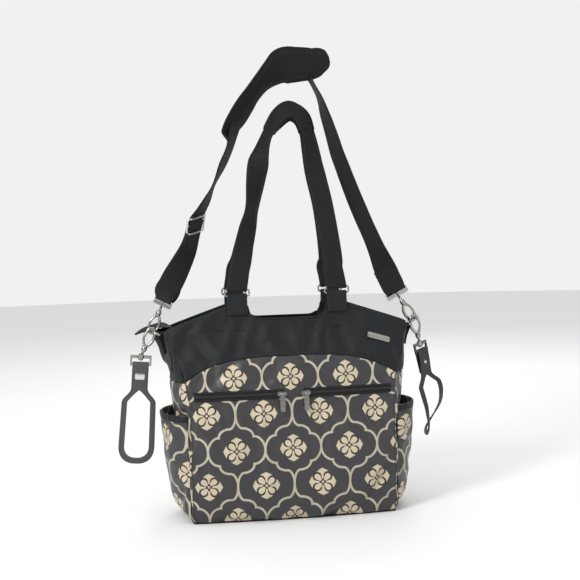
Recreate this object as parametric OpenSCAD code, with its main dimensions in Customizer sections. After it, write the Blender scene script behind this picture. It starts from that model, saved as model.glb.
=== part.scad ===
// Diaper tote with two webbing handles, a padded shoulder strap and two stroller clips.
// Millimetres, +Z up, front towards -Y. The origin is the centre of the underside of the base.

/* [Bag] */
// Width of the front panel at the base
base_w = 330; // [310:1:340]
// Depth of the base at its centre
base_d = 140; // [130:1:150]
// Thickness of the padded outer fabric
shell_t = 2.4; // [1.5:0.1:3]
// Height of the yoke's lower edge at the middle of the bag
arc_z = 258; // [252:1:262]
// How far the yoke's lower edge drops at the side seams
arc_drop = 36; // [24:1:42]
// Height of the top edge where the handle tabs leave it
tab_z = 338; // [334:1:342]
// Height of the bottom of the notch between the handle tabs
notch_z = 314; // [310:1:318]
// Height of the top edge at the side seams
side_z = 304; // [300:1:306]

/* [Side pockets] */
// Height of the pocket mouths
pocket_z = 172; // [150:1:180]
// How far the pockets stand off the sides at the mouth
pocket_gap = 24; // [16:1:26]

/* [Zips] */
// Height of the two front zips
front_zip_z = 200; // [190:1:204]
// Width of a front zip tape
front_tape_w = 16; // [12:1:20]
// Width of the main zip tape
main_tape_w = 25; // [20:1:28]

/* [Webbing] */
// Width of the handle webbing
handle_w = 32; // [25:1:34]
// Width of the shoulder strap webbing
strap_w = 38; // [30:1:38]
// Thickness of one layer of webbing
web_t = 2.2; // [1.6:0.1:2.4]
// Distance of the handles' legs from the middle
handle_x = 80; // [76:1:84]

/* [Metal fittings] */
// Radius of the ring wire
wire_r = 1.5; // [1.2:0.1:1.6]
// Height of the axis of the handle rings' lower bars
ring_z = 352; // [350:1:354]
// Distance between the two bars of a handle ring
ring_h = 10; // [9.5:0.1:12]

/* [Stroller clips] */
// Width of the die-cut loop
loop_w = 56; // [50:1:58]
// Height of the die-cut loop
loop_h = 118; // [100:1:120]
// Width of the loop's tab
loop_tab_w = 26; // [22:1:27]

/* [Hidden] */

black = [0.09, 0.09, 0.10];
print_grey = [0.27, 0.26, 0.28];
tan_lining = [0.62, 0.57, 0.48];
steel = [0.70, 0.69, 0.66];
leather_grey = [0.30, 0.30, 0.32];

// The bag's section is a rounded box that changes with height. Each table is [height, value].
seam_half_w = [[0, base_w / 2], [60, 163], [180, 163], [225, 168], [260, 181], [side_z, 194], [345, 194]];
side_half_w = [[0, base_w / 2 + 2], [60, 171], [180, 183], [225, 189], [260, 193], [side_z, 199], [345, 199]];
middle_half_d = [[0, base_d / 2], [40, 78], [115, 81], [200, 73], [258, 58], [side_z, 36], [345, 27]];
seam_half_d = [[0, 64], [115, 72], [200, 67], [258, 48], [side_z, 28], [345, 22]];

// Panel columns, as shares of the half width, close together round the notch's corners
half_cols = [0.1, 0.2, 0.24, 0.28, 0.305, 0.32, 0.4, 0.48, 0.6, 0.72, 0.86, 1];
front_cols = concat([for (i = [len(half_cols) - 1:-1:0]) -half_cols[i]], [0], half_cols);
side_cols = [-1, -0.75, -0.5, -0.25, 0, 0.25, 0.5, 0.75, 1];
top_edge = [[0, notch_z], [0.2, notch_z], [0.24, notch_z + 1.5], [0.28, notch_z + 6],
    [0.305, notch_z + 14], [0.32, tab_z], [0.48, tab_z], [1, side_z]];
pocket_bulge = [[0, 0.5], [7, 1], [20, 13], [40, 19], [100, 22], [pocket_z, pocket_gap]];

FRONT = 0;
RIGHT = 1;
BACK = 2;
LEFT = 3;
air = 0.3; // gap between sewn layers, so that none of them overlap
seam_gap = 0.12; // how far a panel's edge stays from a side seam

function unit(v) = v / norm(v);
function mix(a, b, t) = a + (b - a) * t;

function yoke_low(s) = arc_z - arc_drop * pow(abs(s), 3);
function yoke_top(s) = lookup(abs(s), top_edge);
side_low = arc_z - arc_drop;
function side_top(s) = side_z - 6 * (1 - s * s);

// Outward normals of the front and of the right side at a share s across them
function front_n(s, z) = let (bulge = lookup(z, middle_half_d) - lookup(z, seam_half_d))
    unit([2 * s * bulge, -lookup(z, seam_half_w)]);
function side_n(s, z) = let (bulge = lookup(z, side_half_w) - lookup(z, seam_half_w))
    unit([lookup(z, seam_half_d), 2 * s * bulge]);
// At a seam both offsets apply, so that neighbouring panels meet on a mitre
function seam_n(z) = front_n(1, z) + side_n(-1, z);
function front_off(s, z) = abs(s) < 1 ? front_n(s, z) : [s * seam_n(z).x, seam_n(z).y];
function side_off(s, z) = abs(s) < 1 ? side_n(s, z) : [seam_n(z).x, -s * seam_n(z).y];
function front_xy(s, z) = let (e = lookup(z, seam_half_d))
    [s * lookup(z, seam_half_w), -e - (lookup(z, middle_half_d) - e) * (1 - s * s)];
function side_xy(s, z) = let (w = lookup(z, seam_half_w))
    [w + (lookup(z, side_half_w) - w) * (1 - s * s), s * lookup(z, seam_half_d)];

// A point on the bag's surface, moved outwards by off
function skin(face, s, z, off) =
    let (turn = face > RIGHT ? -1 : 1, back_off = abs(s) < 1 ? 0 : -s * seam_gap,
        p = face % 2 == 0 ? front_xy(s, z) + off * front_off(s, z) + [back_off, 0]
            : side_xy(s, z) + off * side_off(s, z) + [0, back_off])
    [turn * p.x, turn * p.y, z];

// Triangles over a grid of points stored row by row
function grid_faces(rows, cols, first, out) = [for (r = [0:rows - 2], c = [0:cols - 2])
    let (a = first + r * cols + c)
    each out ? [[a, a + cols, a + 1], [a + 1, a + cols, a + cols + 1]]
        : [[a, a + 1, a + cols], [a + 1, a + cols + 1, a + cols]]];
function border(rows, cols) = concat([for (c = [0:cols - 1]) c],
    [for (r = [1:rows - 1]) r * cols + cols - 1],
    [for (c = [cols - 2:-1:0]) (rows - 1) * cols + c],
    [for (r = [rows - 2:-1:1]) r * cols]);

// A closed sheet between an outer and an inner grid of points
module sheet(outer, inner) {
    rows = len(outer);
    cols = len(outer[0]);
    n = rows * cols;
    edge = border(rows, cols);
    rim = [for (k = [0:len(edge) - 1])
        let (a = edge[k], b = edge[(k + 1) % len(edge)])
        each [[a, b, b + n], [a, b + n, a + n]]];
    polyhedron(points = concat([for (row = outer) each row], [for (row = inner) each row]),
        faces = concat(grid_faces(rows, cols, 0, true), grid_faces(rows, cols, n, false), rim));
}

// One sewn panel: columns at the shares ss, and for each row a list of their heights
module panel(face, ss, rows, out, in) {
    function grid(off) = [for (row = rows) [for (c = [0:len(ss) - 1]) skin(face, ss[c], row[c], off)]];
    sheet(grid(out), grid(in));
}
function level(ss, z) = [for (s = ss) z];
function levels(ss, zs) = [for (z = zs) level(ss, z)];
function even_rows(low, high, n) = [for (r = [0:n - 1])
    [for (c = [0:len(low) - 1]) mix(low[c], high[c], r / (n - 1))]];

// One turn round the bag at a height, counter-clockwise from the front left seam
loop_shares = [-1, -0.86, -0.6, -0.32, 0, 0.32, 0.6, 0.86];
loop_side_shares = [-1, -0.75, -0.5, -0.25, 0, 0.25, 0.5, 0.75];
function turn(z, off) = [for (face = [FRONT:LEFT], s = face % 2 == 0 ? loop_shares : loop_side_shares)
    skin(face, s, z, off)];
function flat_turn(z, off) = [for (p = turn(z, off)) [p.x, p.y]];

// A closed wall round the bag between two offsets, at the heights zs
module wall(zs, out, in) {
    n = len(turn(zs[0], out));
    rows = len(zs);
    m = rows * n;
    function side(first, turned) = [for (r = [0:rows - 2], c = [0:n - 1])
        let (a = first + r * n + c, b = first + r * n + (c + 1) % n)
        each turned ? [[a, b, a + n], [b, b + n, a + n]] : [[a, a + n, b], [b, a + n, b + n]]];
    function ring(first, turned) = [for (c = [0:n - 1])
        let (a = first + c, b = first + (c + 1) % n)
        each turned ? [[a, b + m, b], [a, a + m, b + m]] : [[a, b, b + m], [a, b + m, a + m]]];
    polyhedron(points = concat([for (z = zs) each turn(z, out)], [for (z = zs) each turn(z, in)]),
        faces = concat(side(0, false), side(m, true), ring(0, false), ring(m - n, true)));
}

// Catmull-Rom points along a hand-drawn route, n steps for each span
function blend_at(a, b, c, d, t) = 0.5 * (2 * b + (c - a) * t + (2 * a - 5 * b + 4 * c - d) * t * t
    + (3 * b - a - 3 * c + d) * t * t * t);
function smooth(p, n) = let (m = len(p) - 1)
    [for (i = [0:m - 1], k = [0:n - 1])
        blend_at(p[max(i - 1, 0)], p[i], p[i + 1], p[min(i + 2, m)], k / n), p[m]];

// A flat band swept along a route. Each route point is [place, direction of the width, width].
module band(route, thick, steps, wider = 0) {
    at = smooth([for (p = route) p[0]], steps);
    across = smooth([for (p = route) unit(p[1])], steps);
    width = smooth([for (p = route) p[2]], steps);
    m = len(at) - 1;
    function along(i) = unit(at[min(i + 1, m)] - at[max(i - 1, 0)]);
    function flat(i) = unit(across[i] - (across[i] * along(i)) * along(i));
    function up(i) = cross(along(i), flat(i));
    corners = [[-1, -1], [1, -1], [1, 1], [-1, 1]];
    points = [for (i = [0:m], k = corners)
        at[i] + k.x * (width[i] / 2 + wider) * flat(i) + k.y * thick / 2 * up(i)];
    sides = [for (i = [0:m - 1], k = [0:3])
        let (a = 4 * i + k, b = 4 * i + (k + 1) % 4)
        each [[a, b + 4, b], [a, a + 4, b + 4]]];
    polyhedron(points = points,
        faces = concat(sides, [[0, 1, 2], [0, 2, 3]],
            [[4 * m + 2, 4 * m + 1, 4 * m], [4 * m + 3, 4 * m + 2, 4 * m]]));
}

// Webbing folded round a bar along X, with its tail upwards
running = 0.08; // radial clearance of a fold, post or pin
module web_eye(w, tail, thick) {
    difference() {
        union() {
            rotate([0, 90, 0]) cylinder(r = wire_r + running + web_t, h = w, center = true, $fn = 32);
            translate([-w / 2, -thick / 2, 0]) cube([w, thick, tail]);
        }
        rotate([0, 90, 0]) cylinder(r = wire_r + running, h = w + 2, center = true, $fn = 32);
    }
}

// A closed rectangle of round wire in the XZ plane, with one bar on the X axis and one above it
module wire_ring(w, h, r) {
    bend = 3;
    for (z = [0, h])
        translate([0, 0, z]) rotate([0, 90, 0]) cylinder(r = r, h = w - 2 * bend, center = true, $fn = 24);
    for (x = [-w / 2, w / 2])
        translate([x, 0, bend]) cylinder(r = r, h = h - 2 * bend, $fn = 24);
    for (turned = [0:3])
        translate([(turned == 0 || turned == 3 ? 1 : -1) * (w / 2 - bend), 0, turned < 2 ? h - bend : bend])
            rotate([90, 0, 0]) rotate([0, 0, 90 * turned])
                rotate_extrude(angle = 90, $fn = 32) translate([bend, 0]) circle(r = r, $fn = 24);
}

// ---- Sewn bag ----
function mirrored(ss) = [for (i = [len(ss) - 1:-1:0]) -ss[i]];
arc_front = [for (s = front_cols) yoke_low(s)];
top_front = [for (s = front_cols) yoke_top(s)];
top_side = [for (s = side_cols) side_top(s)];
// Rows fall where the section's tables bend, so that every layer bends alike
panel_levels = [shell_t, 40, 60, 115, 180, 200];

module lower_panel(face)
    panel(face, front_cols, concat(levels(front_cols, panel_levels), [arc_front]), 0, -shell_t);
module yoke(face) panel(face, front_cols, even_rows(arc_front, top_front, 7), 0, -shell_t);
module gusset(face) panel(face, side_cols, levels(side_cols, concat(panel_levels, side_low)), 0, -shell_t);
module side_yoke(face)
    panel(face, side_cols, even_rows(level(side_cols, side_low), top_side, 4), 0, -shell_t);

module front_panel() color(print_grey) lower_panel(FRONT);
module back_panel() color(print_grey) lower_panel(BACK);
module front_yoke() color(black) yoke(FRONT);
module back_yoke() color(black) yoke(BACK);
module left_gusset() color(print_grey) gusset(LEFT);
module right_gusset() color(print_grey) gusset(RIGHT);
module left_side_yoke() color(black) side_yoke(LEFT);
module right_side_yoke() color(black) side_yoke(RIGHT);

module base_panel() color(black) linear_extrude(shell_t) polygon(flat_turn(0, 0));
board_t = 3;
board_inset = 6;
module base_board() color(tan_lining) translate([0, 0, shell_t + air])
    linear_extrude(board_t) polygon(flat_turn(0, -board_inset));
binding_z = [0.8, 7];
module base_binding() color(black) wall(binding_z, air + 1.5, air);

// A thin cup that lines the whole bag
lining_t = 1;
lining_off = shell_t + 4;
lining_floor = shell_t + 2 * air + board_t;
lining_top = 296;
module lining() color(tan_lining) {
    wall([lining_floor, 40, 60, 115, 180, 200, 225, 260, lining_top], -lining_off, -lining_off - lining_t);
    translate([0, 0, lining_floor])
        linear_extrude(lining_t) polygon(flat_turn(lining_floor, -lining_off - lining_t / 2));
}

// A pocket on the outside of a side: sewn down at its edges and foot, open at the top
pocket_side = 0.94;
pocket_shares = [-0.94, -0.8, -0.6, -0.3, 0, 0.3, 0.6, 0.8, 0.94];
pocket_rows = [8, 14, 24, 40, 60, 85, 115, 145, pocket_z];
pocket_t = 1.8;
function pocket_off(s, z) = air + lookup(z, pocket_bulge) * pow(max(0, 1 - pow(s / pocket_side, 2)), 0.6);
module pocket_sheet(face, rows, near, thick) {
    function grid(extra) = [for (z = rows) [for (s = pocket_shares)
        skin(face, s, z, pocket_off(s, z) + extra)]];
    sheet(grid(near + thick), grid(near));
}
module left_side_pocket() color(print_grey) pocket_sheet(LEFT, pocket_rows, 0, pocket_t);
module right_side_pocket() color(print_grey) pocket_sheet(RIGHT, pocket_rows, 0, pocket_t);
module pocket_elastics() color(black) for (face = [LEFT, RIGHT])
    pocket_sheet(face, [pocket_z - 12, pocket_z - 6, pocket_z], pocket_t + air, 1);

zip_shares = [-0.94, -0.86, -0.72, -0.6, -0.48, -0.32, -0.2, -0.1];
tape_t = 0.8;
module front_pocket_bags() color(tan_lining) for (shares = [zip_shares, mirrored(zip_shares)])
    panel(FRONT, shares, levels(shares, [24, 40, 60, 115, 180, front_zip_z]), -shell_t - 1.4, -shell_t - 2.2);
module front_tape(shares) panel(FRONT, shares,
    levels(shares, [for (k = [-1:1]) front_zip_z + k * front_tape_w / 2]), air + tape_t, air);
module left_front_zip_tape() color(black) front_tape(zip_shares);
module right_front_zip_tape() color(black) front_tape(mirrored(zip_shares));

closure_z = 299;
closure_t = 1.2;
closure_reach = 192;
chain_w = 5;
chain_h = 1;
module top_closure() color(black) for (side = [-1, 1]) intersection() {
    translate([0, 0, closure_z]) linear_extrude(closure_t) polygon(flat_turn(closure_z, -shell_t - 0.5));
    translate([-closure_reach, side > 0 ? main_tape_w / 2 + air : -60 - main_tape_w / 2 - air, closure_z - 1])
        cube([2 * closure_reach, 60, 4]);
}
module main_zip_tape() color(black) translate([-closure_reach, -main_tape_w / 2, closure_z]) {
    cube([2 * closure_reach, main_tape_w, closure_t]);
    translate([6, main_tape_w / 2 - chain_w / 2, 0])
        cube([2 * closure_reach - 12, chain_w, closure_t + chain_h]);
}
// The loose end of the main zip, capped to a point, passes behind the left fittings
tail_route = [[[-190, 6, 303.6], [0, 1, 0.1], 22], [[-202, 21, 307], [0.1, 1, 0.3], 21],
    [[-214, 25, 304], [0.1, 1, 0.4], 19], [[-229, 25, 299], [0.1, 1, 0.4], 15],
    [[-242, 22, 293], [0.1, 1, 0.4], 4]];
module main_zip_tail() color(black) band(tail_route, 2.2, 2);

// Webbing tabs that hold the handle rings
tab_y = 29.5;
module handle_tabs(y) for (x = [-handle_x, handle_x]) translate([x, y, ring_z])
    mirror([0, 0, 1]) web_eye(handle_w - 4, ring_z - tab_z - 0.2, 2 * web_t);
module front_handle_tabs() color(black) handle_tabs(-tab_y);
module back_handle_tabs() color(black) handle_tabs(tab_y);

plate_w = 38;
plate_h = 9;
plate_t = 1.2;
module nameplate() color(steel) translate(skin(FRONT, 0.77, 279, 1.5)) rotate([-24, 0, 4])
    rotate([0, 17, 0]) cube([plate_w, plate_t, plate_h], center = true);
notch_shares = [for (s = front_cols) if (abs(s) < 0.31) s];
notch_top = [for (s = notch_shares) yoke_top(s)];
module notch_bindings() color(black) for (face = [FRONT, BACK])
    panel(face, notch_shares, [[for (z = notch_top) z - 6], notch_top], 3 * air + 0.8, 3 * air);

// ---- D-rings at the top corners ----
d_bar_x = 202;
d_bar_z = 293;
d_ring_r = 12.5;
d_leg = 3;
d_lean = 9;
left_d_angle = 27;
right_d_angle = 45;
d_reach = d_ring_r + d_leg;
module d_ring_tabs() color(black) for (side = [-1, 1]) translate([side * d_bar_x, 0, d_bar_z])
    rotate([180, side * d_lean, 0]) rotate([0, 0, 90]) web_eye(18, 28, web_t);
module d_ring(angle) translate([d_bar_x, 0, d_bar_z]) rotate([0, -angle, 0]) {
    rotate([90, 0, 0]) cylinder(r = wire_r, h = 2 * (d_ring_r - d_leg), center = true, $fn = 24);
    for (side = [-1, 1]) translate([d_leg, side * (d_ring_r - d_leg), 0])
        rotate([0, 0, side > 0 ? 90 : 180]) rotate_extrude(angle = 90, $fn = 32)
            translate([d_leg, 0]) circle(r = wire_r, $fn = 24);
    translate([d_leg, 0, 0]) rotate([0, 0, -90]) rotate_extrude(angle = 180, $fn = 48)
        translate([d_ring_r, 0]) circle(r = wire_r, $fn = 24);
}
module left_d_ring() color(steel) mirror([1, 0, 0]) d_ring(left_d_angle);
module right_d_ring() color(steel) d_ring(right_d_angle);
left_apex = [-d_bar_x - d_reach * cos(left_d_angle), 0, d_bar_z + d_reach * sin(left_d_angle)];
right_apex = [d_bar_x + d_reach * cos(right_d_angle), 0, d_bar_z + d_reach * sin(right_d_angle)];

// ---- Handles ----
module rings(y) for (x = [-handle_x, handle_x])
    translate([x, y, ring_z]) wire_ring(handle_w + 6.5, ring_h, wire_r);
module front_rings() color(steel) rings(-tab_y);
module back_rings() color(steel) rings(tab_y);

eye_tail = 16;
// The front handle's route from its left ring to its right ring
handle_route = [
    [[-80, -29.5, 374], [1, 0, 0], 32], [[-72, -28, 411], [1, 0.1, 0], 32],
    [[-62, -27, 450], [0.95, 0.3, 0], 32], [[-51, -26, 500], [0.5, 0.85, 0], 32],
    [[-41, -23, 548], [0.95, 0.1, 0], 32], [[-27, -20, 588], [0.7, -0.6, 0], 32],
    [[-14, -18, 616], [0.5, -0.8, -0.2], 32], [[-3, -18, 636], [0.5, -0.7, -0.5], 32],
    [[14, -18, 646], [0, -0.6, -0.8], 32], [[31, -18, 636], [-0.5, -0.7, -0.5], 32],
    [[40, -19, 612], [-0.6, -0.75, -0.1], 32], [[45, -21, 580], [-0.8, -0.5, 0], 32],
    [[51, -24, 540], [-0.98, -0.1, 0], 32], [[61, -26, 486], [-1, 0, 0], 32],
    [[73, -28, 411], [-1, 0, 0], 32], [[80, -29.5, 374], [-1, 0, 0], 32]];
grip_route = [for (i = [6:10]) handle_route[i]];
// The back handle hangs from the same hook, so it is the front one mirrored
module handle_piece(back) mirror([0, back ? 1 : 0, 0]) {
    band(handle_route, web_t, 3);
    for (x = [-handle_x, handle_x]) translate([x, -tab_y, ring_z + ring_h])
        web_eye(handle_w, eye_tail, 2 * web_t);
}
grip_t = 5;
grip_wider = 0.8;
module front_handle() color(black) handle_piece(false);
module back_handle() color(black) handle_piece(true);
module front_handle_grip() color(black) band(grip_route, grip_t, 3, grip_wider);
module back_handle_grip() color(black) mirror([0, 1, 0]) band(grip_route, grip_t, 3, grip_wider);

// ---- Snap hooks: each hangs from a wire at its origin, with its post pointing down ----
hook_r = 8;
hook_wire = 3.4;
hook_in = hook_r - hook_wire;
hook_t = 4.2;
hook_gap = 2.2; // free space between the hook and the wire it hangs from
hook_top = wire_r + hook_gap - hook_in;
hook_len = 19;
hook_foot = hook_top - hook_len - hook_r;
gate_x = hook_r - hook_wire / 2;
gate_low = hook_top - hook_len + 3;
gate_high = hook_top - 2;
gate_t = 2.4;
gate_pin_r = 0.8;
post_r = 2;
head_r = 3.4;
collar_r = 3.2;
bar_reach = 44; // from the wire to the middle of the ring's bar
bar_tall = 5;
boss_tall = 8;
module hook_plate(r, t) rotate([90, 0, 0]) {
    for (y = [hook_top, hook_top - hook_len])
        translate([0, y, 0]) cylinder(r = r, h = t, center = true, $fn = 40);
    translate([0, hook_top - hook_len / 2, 0]) cube([2 * r, hook_len, t], center = true);
}
module cross_pin(r, w) translate([gate_x, 0, gate_low]) rotate([90, 0, 0])
    cylinder(r = r, h = w, center = true, $fn = 24);
module snap_hook() {
    difference() {
        hook_plate(hook_r, hook_t);
        hook_plate(hook_in, hook_t + 2);
        translate([gate_x - 3.2, -hook_t, gate_low]) cube([10, 2 * hook_t, gate_high - gate_low]);
        cross_pin(2.3, gate_t + 0.4);
    }
    cross_pin(gate_pin_r, hook_t);
    translate([0, 0, hook_foot - 7]) cylinder(r = collar_r, h = 8, $fn = 32);
    translate([0, 0, -bar_reach - boss_tall / 2 - 1])
        cylinder(r = post_r, h = bar_reach + hook_foot, $fn = 32);
    translate([0, 0, -bar_reach - boss_tall / 2 - air - 1.5]) cylinder(r = head_r, h = 1.5, $fn = 32);
}
module gate_lever() difference() {
    union() {
        cross_pin(1.9, gate_t);
        translate([gate_x - 1.2, -gate_t / 2, gate_low]) cube([2.4, gate_t, gate_high - gate_low - 0.4]);
        translate([gate_x + 0.8, -gate_t / 2, gate_low + 4]) cube([1.8, gate_t, 3]);
    }
    cross_pin(gate_pin_r + running, 8);
}
// A ring below the hook: its boss turns on the post, and webbing folds round its lower bar.
// The frame may sit askew on the boss, as the fit is loose.
module post_ring(w, drop, skew) translate([0, 0, -bar_reach]) {
    inner = w + 1.5;
    side_w = 3;
    difference() {
        union() {
            rotate([0, skew, 0]) cube([inner + 2 * side_w, side_w, bar_tall], center = true);
            cylinder(r = 4.6, h = boss_tall, center = true, $fn = 32);
        }
        cylinder(r = post_r + running, h = 3 * bar_tall, center = true, $fn = 32);
    }
    rotate([0, skew, 0]) {
        for (side = [-1, 1]) translate([side * (inner + side_w) / 2, 0, -drop / 2])
            cube([side_w, side_w, drop + bar_tall], center = true);
        translate([0, 0, -drop]) rotate([0, 90, 0])
            cylinder(r = wire_r, h = inner + 2, center = true, $fn = 24);
    }
}

hook_y = 4.2; // the strap's hook and the clip's hook share a D-ring, side by side
// Lean of each hook, and of the ring and webbing that it carries, from the vertical
left_strap_angle = 24;
left_strap_lean = 24;
right_strap_angle = 32;
right_strap_lean = 27;
left_clip_angle = 24;
left_clip_lean = 5;
right_clip_angle = 12;
right_clip_lean = 12;
right_clip_turn = 38;
ring_drop = 12;
function lean_dir(angle) = [sin(angle), 0, cos(angle)];
module at_left_strap() translate(left_apex + [0, hook_y, 0]) rotate([0, 180 + left_strap_angle, 0])
    children();
module at_right_strap() translate(right_apex + [0, hook_y, 0]) rotate([0, 180 - right_strap_angle, 0])
    mirror([1, 0, 0]) children();
module at_left_clip() translate(left_apex - [0, hook_y, 0]) rotate([0, left_clip_angle, 0])
    mirror([1, 0, 0]) children();
module at_right_clip() translate(right_apex - [0, hook_y, 0]) rotate([0, -right_clip_angle, 0]) children();

module left_strap_clasp() color(steel) at_left_strap() snap_hook();
module right_strap_clasp() color(steel) at_right_strap() snap_hook();
module left_clip_clasp() color(steel) at_left_clip() snap_hook();
module right_clip_clasp() color(steel) at_right_clip() snap_hook();
module left_strap_gate() color(steel) at_left_strap() gate_lever();
module right_strap_gate() color(steel) at_right_strap() gate_lever();
module left_clip_gate() color(steel) at_left_clip() gate_lever();
module right_clip_gate() color(steel) at_right_clip() gate_lever();
module left_strap_ring() color(steel) at_left_strap() post_ring(strap_w, ring_drop, 0);
module right_strap_ring() color(steel) at_right_strap()
    post_ring(strap_w, ring_drop, right_strap_lean - right_strap_angle);
module left_clip_ring() color(steel) at_left_clip()
    post_ring(loop_tab_w, ring_drop, left_clip_angle - left_clip_lean);
module right_clip_ring() color(steel) at_right_clip() rotate([0, 0, right_clip_turn])
    post_ring(loop_tab_w, ring_drop, 0);
// The axis of the lower bar of each ring, where webbing or leather folds round it
left_strap_end = left_apex + [0, hook_y, 0] + bar_reach * lean_dir(left_strap_angle)
    + ring_drop * lean_dir(left_strap_lean);
right_strap_end = right_apex + [0, hook_y, 0] + bar_reach * lean_dir(-right_strap_angle)
    + ring_drop * lean_dir(-right_strap_lean);
left_loop_end = left_apex - [0, hook_y, 0] - bar_reach * lean_dir(left_clip_angle)
    - ring_drop * lean_dir(left_clip_lean);
right_loop_end = right_apex - [0, hook_y, 0] - bar_reach * lean_dir(-right_clip_angle)
    - ring_drop * lean_dir(-right_clip_lean);

// ---- Shoulder strap ----
strap_tail = 12;
left_up = left_strap_end + strap_tail * lean_dir(left_strap_lean);
right_up = right_strap_end + strap_tail * lean_dir(-right_strap_lean);
strap_route = [
    [left_up, [0.91, 0, -0.41], 38], [[-164, 4, 420], [0.9, 0.3, -0.35], 38],
    [[-143, 4, 470], [0.6, 0.77, -0.24], 38], [[-129, 4, 512], [0.35, 0.93, 0], 38],
    [[-108, 4, 560], [0.3, 0.95, -0.1], 38], [[-76, 4, 618], [0.35, 0.9, -0.2], 38],
    [[-47, 3, 663], [0.4, 0.85, -0.3], 38], [[-18, 2, 696], [0.3, 0.5, -0.8], 38],
    [[10, 4, 711], [0, 0.3, -0.95], 38], [[36, 8, 711], [-0.1, 0.7, -0.7], 38],
    [[53, 12, 697], [-0.2, 0.97, -0.1], 38], [[63, 10, 662], [-0.25, 0.95, 0], 38],
    [[75, 7, 618], [-0.45, 0.88, 0], 38], [[92, 5, 567], [-0.62, 0.75, -0.1], 38],
    [[125, 4, 484], [-0.85, 0.4, -0.3], 38], [[152, 4, 415], [-0.89, 0.15, -0.4], 38],
    [right_up, [-0.89, 0, -0.45], 38]];
// The strap's sewn end lies in front of it, from the left end ring up to the slide
doubled_route = [
    [left_up - [0, web_t, 0], strap_route[0][1], 37.6],
    [[-163.5, 1.9, 419.8], strap_route[1][1], 37.6],
    [[-141.4, 2.5, 469.4], strap_route[2][1], 37.6]];
module shoulder_strap() color(black) {
    band(strap_route, web_t, 3);
    band(doubled_route, web_t + 0.4, 3);
    translate(left_strap_end) rotate([0, left_strap_lean, 0]) web_eye(strap_w, strap_tail + 2, 2 * web_t);
    translate(right_strap_end) rotate([0, -right_strap_lean, 0]) web_eye(strap_w, strap_tail + 2, 2 * web_t);
}
pad_route = [
    [[-83, 3, 603], [0.55, 0.8, -0.3], 38], [[-75, 3, 618], [0.55, 0.8, -0.3], 44],
    [[-60, 2, 644], [0.55, 0.75, -0.35], 46], [[-42, 1, 671], [0.5, 0.6, -0.5], 50],
    [[-20, 0, 696], [0.35, 0.35, -0.85], 57], [[6, 0, 711], [0.1, 0.3, -0.95], 60],
    [[32, 0, 714], [0, 0.3, -0.95], 61], [[56, 0, 713], [0, 0.3, -0.95], 59],
    [[71, 0, 711], [0, 0.3, -0.95], 49], [[80, 0, 710], [0, 0.3, -0.95], 30]];
pad_t = 9;
module shoulder_pad() color(black) band(pad_route, pad_t, 2);

// The slide that sets the strap's length: a frame with a middle bar
glide_w = 46;
glide_h = 24;
module tri_glide() color(steel) translate([-143, 2.6, 470]) rotate([0, 22, 0]) rotate([0, 0, 52]) {
    for (z = [-glide_h / 2, 0, glide_h / 2]) translate([0, z == 0 ? -3.4 : 0, z])
        rotate([0, 90, 0]) cylinder(r = wire_r, h = glide_w - 3, center = true, $fn = 24);
    for (x = [-1, 1]) translate([x * (glide_w / 2 - 1.5), -1.7, 0])
        cube([3, 6.4, glide_h + 3], center = true);
}

// ---- Stroller loops: a folded tab and a die-cut loop in one piece of leather ----
leather_t = 2.6;
loop_band = 9;
tab_len = 46;
module loop_outline(grow) {
    r = loop_w / 2 + grow;
    top = -tab_len - loop_w / 2;
    for (y = [top, top - loop_h + loop_w]) translate([0, y]) circle(r = r, $fn = 48);
    translate([-r, top - loop_h + loop_w]) square([2 * r, loop_h - loop_w]);
}
module loop_piece() {
    difference() {
        rotate([90, 0, 0]) translate([0, 0, -leather_t / 2]) linear_extrude(leather_t) difference() {
            union() {
                loop_outline(0);
                translate([-loop_tab_w / 2, -tab_len - 12]) square([loop_tab_w, tab_len + 12]);
            }
            loop_outline(-loop_band);
        }
        rotate([0, 90, 0]) cylinder(r = wire_r + running + 1, h = loop_tab_w + 2, center = true, $fn = 24);
    }
    mirror([0, 0, 1]) web_eye(loop_tab_w, 20, 2 * web_t);
}
module at_left_loop() translate(left_loop_end) rotate([0, left_clip_lean, 0]) children();
module at_right_loop() translate(right_loop_end) rotate([0, -right_clip_lean, 0])
    rotate([0, 0, right_clip_turn]) children();
module left_clip_loop() color(leather_grey) at_left_loop() loop_piece();
module right_clip_loop() color(leather_grey) at_right_loop() loop_piece();
snap_r = 5;
module snap_button() translate([0, -web_t - 0.1, -27]) rotate([90, 0, 0])
    cylinder(r = snap_r, h = 1.6, $fn = 32);
module left_clip_snap() color(steel) at_left_loop() snap_button();
module right_clip_snap() color(steel) at_right_loop() snap_button();

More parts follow.
